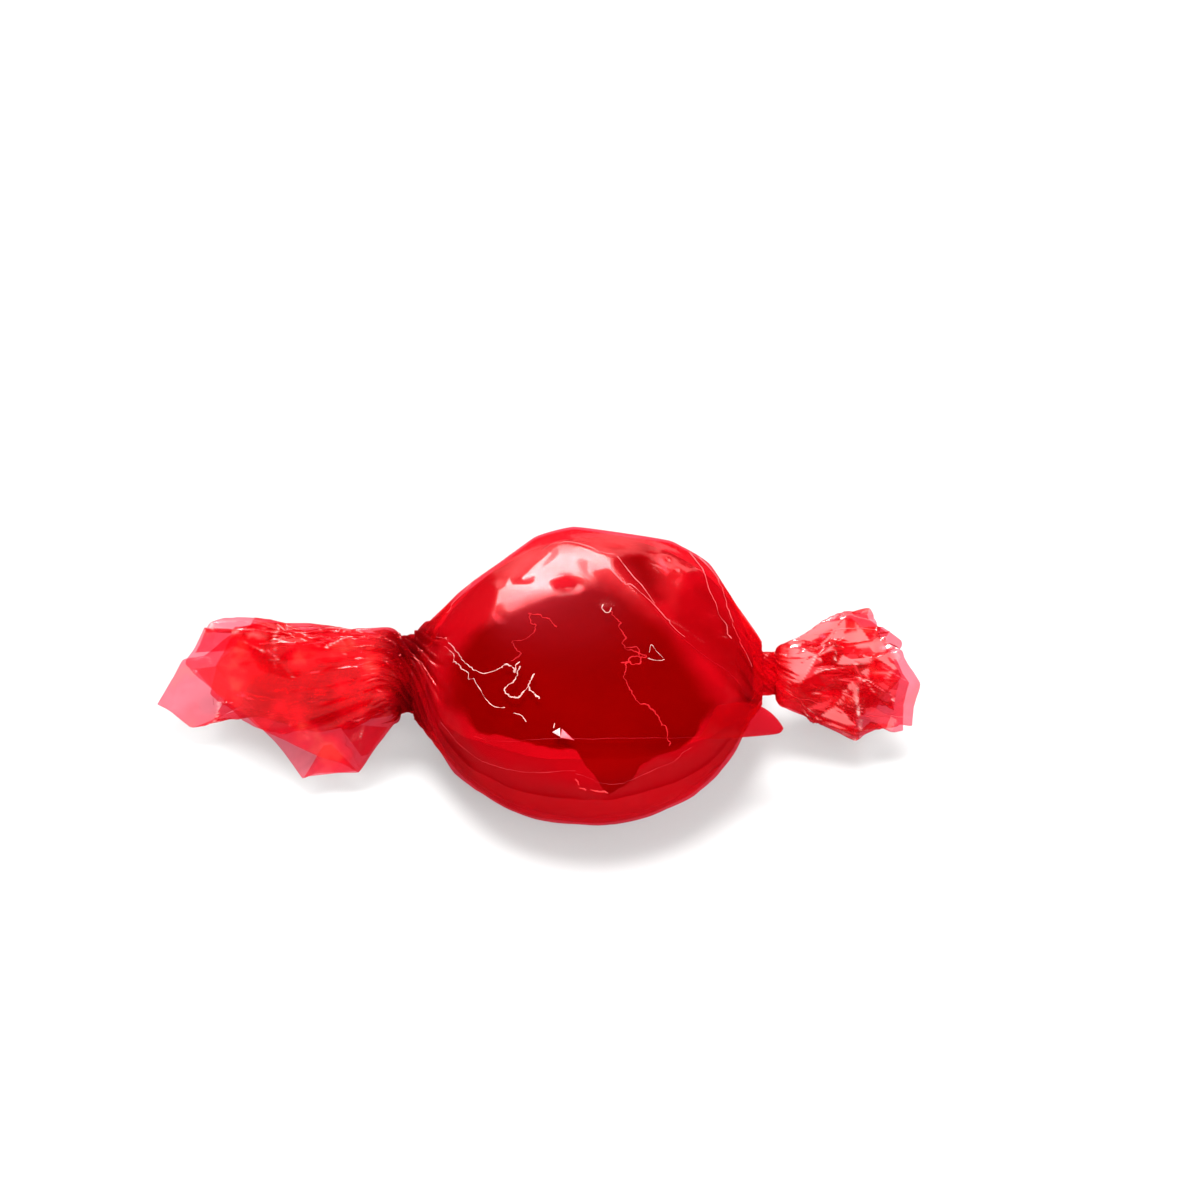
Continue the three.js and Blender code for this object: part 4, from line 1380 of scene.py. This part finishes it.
def find_regions(tree, place, wander):
    """How far a point belongs to each region of the film, from 0 to 1."""
    x, y, z = node(tree, "ShaderNodeSeparateXYZ", vector=place).outputs
    aside = calc(tree, "ABSOLUTE", x)
    from_neck = calc(tree, "ABSOLUTE", calc(tree, "SUBTRACT", aside, NECK_X * MM))
    near_neck = smooth_between(tree, from_neck, 3.0 * MM, 0.2 * MM)
    on_left = smooth_between(tree, x, 1.0 * MM, -1.0 * MM)
    side_share = calc(tree, "MULTIPLY_ADD", on_left, 1 - RIGHT_NECK_SHARE, RIGHT_NECK_SHARE)
    on_body = smooth_between(tree, aside, (NECK_X + 0.5) * MM, (NECK_X - 0.5) * MM)
    low = smooth_between(tree, z, 4.0 * MM, 1.0 * MM)
    off_front = smooth_between(tree, y, -9.5 * MM, -6.0 * MM)
    blur = calc(tree, "MULTIPLY_ADD", off_front, BORDER_BLUR[1] - BORDER_BLUR[0], BORDER_BLUR[0])
    uneven = calc(tree, "SUBTRACT", wander, 0.5)
    border = calc(tree, "MULTIPLY_ADD", uneven, BORDER_WANDER, painted(tree, "loose"))
    return {
        "free": smooth_between(tree, border, calc(tree, "MULTIPLY", blur, -1.0), blur),
        # near the necks, where the darker tint is partly painted shade
        "neck": calc(tree, "MULTIPLY", near_neck, side_share),
        "body": on_body,
        # the low part of the body, near the floor, which gets painted shade
        "low_shade": calc(tree, "MULTIPLY", on_body, low),
        "fans": smooth_between(tree, aside, NECK_X * MM, (NECK_X + 3) * MM),
        "right fan": smooth_between(tree, x, NECK_X * MM, (NECK_X + 2) * MM),
    }


# %% Set its tint, its milk and its gloss
# the dark neck tint is also the colour of the painted shade in the film
FILM_TINT, THIN_TINT, NECK_TINT_AND_SHADE = (0.97, 0.28, 0.36, 1), (1.0, 0.34, 0.37, 1), (0.74, 0.2, 0.25, 1)
# how far each goes towards that tint: the necks, from gathered layers and partly painted shade; the
# painted shade low on the body and on facets turned from the light; and the gathers
NECK_DARK_SHARE, LOW_SHADE_SHARE, PAINTED_SHADE_SHARE, GATHER_SHARE = 0.9, 0.55, 0.25, 0.8
FILM_MILK, WARM_MILK = (1.0, 0.004, 0.018, 1), (1.0, 0.12, 0.08, 1)
# in the fans the milk is patchy, from the first to the sum of both; near a neck there is less of it,
# which keeps the neck dark, partly as painted shade
PATCHY_MILK, NECK_CLEARS = (0.45, 1.2), -0.5
GLOSS_STUCK, GLOSS_FREE, GLOSS_EDGE, GLOSS_POWER = 0.004, 0.025, 0.085, 4.0
GLOSS_FANS, SOFT_GLOSS, SOFT_FANS = 0.04, 0.01, 0.02


def film_tint(tree, at, thin):
    """Tint of one layer: paler where thin, denser on gathers and necks; painted shade at necks, low, on
    facets.
    """
    gathered = calc(tree, "MULTIPLY", painted(tree, "gather"), GATHER_SHARE)
    # painted shade on fan facets turned far from the painted light's direction
    painted_shade = calc(tree, "MULTIPLY", painted(tree, "painted_shade"), at["fans"])
    darkening = calc(tree, "MULTIPLY_ADD", painted_shade, PAINTED_SHADE_SHARE, gathered)
    # painted shade low on the body, near the floor
    darkening = calc(tree, "MULTIPLY_ADD", at["low_shade"], LOW_SHADE_SHARE, darkening)
    # the necks darken, from their gathered layers and partly as painted shade
    darkening = calc(tree, "MULTIPLY_ADD", at["neck"], NECK_DARK_SHARE, darkening)
    own = blend_colours(tree, thin, FILM_TINT, THIN_TINT)
    return blend_colours(tree, calc(tree, "MINIMUM", darkening, 1.0), own, NECK_TINT_AND_SHADE)


def film_milk(tree, at, patch):
    """How milky the film is: only where it is free."""
    milk = calc(tree, "MULTIPLY", at["free"], painted(tree, "milk"))
    least, more = PATCHY_MILK
    patchy = calc(tree, "MULTIPLY_ADD", smooth_between(tree, patch, 0.45, 0.65), more, least)
    milk = calc(tree, "MULTIPLY", milk, between(tree, at["fans"], 1.0, patchy))
    return calc(tree, "MULTIPLY", milk, calc(tree, "MULTIPLY_ADD", at["neck"], NECK_CLEARS, 1.0))


def film_gloss(tree, at, place):
    """How much the film mirrors: more where it is free and at a grazing look, and in streaks."""
    facing = node(tree, "ShaderNodeLayerWeight", blend=0.5).outputs["Facing"]
    grazing = calc(tree, "POWER", facing, GLOSS_POWER)
    ahead = calc(tree, "MULTIPLY_ADD", at["free"], GLOSS_FREE - GLOSS_STUCK, GLOSS_STUCK)
    ahead = calc(tree, "MULTIPLY_ADD", at["right fan"], GLOSS_FANS, ahead)
    gloss = calc(tree, "MULTIPLY_ADD", grazing, GLOSS_EDGE - GLOSS_FREE, ahead)
    stretched = node(tree, "ShaderNodeMapping", vector=place, scale=(0.5, 1.0, 1.0)).outputs[0]
    clean = node(tree, "ShaderNodeMapRange", from_min=0.3, from_max=0.65, to_min=0.45, to_max=1.3)
    feed(tree, clean.inputs["Value"], noise(tree, stretched, 300.0, 3.0))
    return calc(tree, "MULTIPLY", gloss, clean.outputs[0])


# %% Put the film's finish together
FILM_SHEEN, MIRROR_BLUR, SATIN_BLUR = (1.0, 0.40, 0.39, 1), 0.1, 0.35
# the painted pale highlight on facets turned to the painted light, in the left and the right fan
PAINTED_HIGHLIGHT_COLOUR, PAINTED_HIGHLIGHT_LEFT, PAINTED_HIGHLIGHT_RIGHT = (1.0, 0.25, 0.25, 1), 0.03, 0.46
# the painted glint on the sharp ridges of the fans
RIDGE_GLINT_COLOUR, RIDGE_GLINT_SHARE = (1.0, 0.55, 0.52, 1), 0.6
# how much of the lamps' light one layer lets through to what lies in its shadow
BODY_SHADOW, FAN_SHADOW = 0.74, 0.64


def finish_film(tree):
    """Clear red film: tint with painted shade, milk, painted pale facets and ridge glints, satin, mirror."""
    place = node(tree, "ShaderNodeTexCoord").outputs["Object"]
    ripple, waves = noise(tree, place, 420.0, 1.0), noise(tree, place, 190.0, 1.0)
    wander, patch = noise(tree, place, 420.0, 4.0), noise(tree, place, 330.0, 3.0)
    at = find_regions(tree, place, wander)

    patches = calc(tree, "MULTIPLY", smooth_between(tree, patch, 0.56, 0.68), 0.6)
    thin = calc(tree, "MULTIPLY", patches, at["fans"])
    clear = node(tree, "ShaderNodeBsdfTransparent", color=film_tint(tree, at, thin))
    cloudy = node(tree, "ShaderNodeBsdfDiffuse", color=blend_colours(tree, thin, FILM_MILK, WARM_MILK))
    film = blend_shaders(tree, film_milk(tree, at, patch), clear.outputs[0], cloudy.outputs[0])

    # facets turned to the painted light get a pale painted highlight, made uneven by the waves
    share = between(tree, at["right fan"], PAINTED_HIGHLIGHT_LEFT, PAINTED_HIGHLIGHT_RIGHT)
    tones = calc(tree, "MULTIPLY_ADD", smooth_between(tree, waves, 0.35, 0.65), 0.5, 0.6)
    painted_highlight = calc(tree, "MULTIPLY", calc(tree, "MULTIPLY", painted(tree, "painted_highlight"), share), tones)
    pale = node(tree, "ShaderNodeBsdfDiffuse", color=PAINTED_HIGHLIGHT_COLOUR)
    film = blend_shaders(tree, painted_highlight, film, pale.outputs[0])
    # sharp ridges get a painted glint, a pale diffuse colour broken up by noise
    broken = calc(tree, "MULTIPLY", smooth_between(tree, wander, 0.42, 0.58), RIDGE_GLINT_SHARE)
    glints = calc(tree, "MULTIPLY", painted(tree, "ridge"), broken)
    bright = node(tree, "ShaderNodeBsdfDiffuse", color=RIDGE_GLINT_COLOUR)
    film = blend_shaders(tree, glints, film, bright.outputs[0])

    softness = calc(tree, "MULTIPLY", at["body"], SOFT_GLOSS)
    softness = calc(tree, "MULTIPLY_ADD", at["right fan"], SOFT_FANS, softness)
    satin = node(tree, "ShaderNodeBsdfGlossy", color=FILM_SHEEN, roughness=SATIN_BLUR)
    film = blend_shaders(tree, calc(tree, "MULTIPLY", softness, at["free"]), film, satin.outputs[0])
    uneven = calc(tree, "MULTIPLY_ADD", waves, 5.0, ripple)
    relief = node(tree, "ShaderNodeBump", strength=0.3, distance=0.05 * MM, height=uneven).outputs[0]
    mirror = node(tree, "ShaderNodeBsdfGlossy", color=FILM_SHEEN, roughness=MIRROR_BLUR, normal=relief)
    film = blend_shaders(tree, film_gloss(tree, at, place), film, mirror.outputs[0])

    lets_through = between(tree, at["fans"], BODY_SHADOW, FAN_SHADOW)
    filtered = node(tree, "ShaderNodeBsdfTransparent", color=lets_through)
    in_shadow = node(tree, "ShaderNodeLightPath").outputs["Is Shadow Ray"]
    film = blend_shaders(tree, in_shadow, film, filtered.outputs[0])
    tree.links.new(film, tree.nodes["Material Output"].inputs[0])


red_film, film_tree = new_material("red_film")
finish_film(film_tree)
for turn in (inner_turn, outer_turn, left_folds, right_folds, corner, flaps):
    turn.data.materials.append(red_film)
    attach(turn, "root")
    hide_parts("wrapped_sweet")

# %% [markdown]
# ## The two boxes
#
# The boxes of the dressed model and of the imported one are both printed. The dressed model must
# stay inside the box of the imported one.

# %% Print the sizes of both boxes
sizes = {"cad": [list(corner) for corner in cad_box], "visual": [list(corner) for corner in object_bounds()]}
for name, box in sizes.items():
    print(name, "box, mm:", [[round(value / MM, 2) for value in corner] for corner in box])
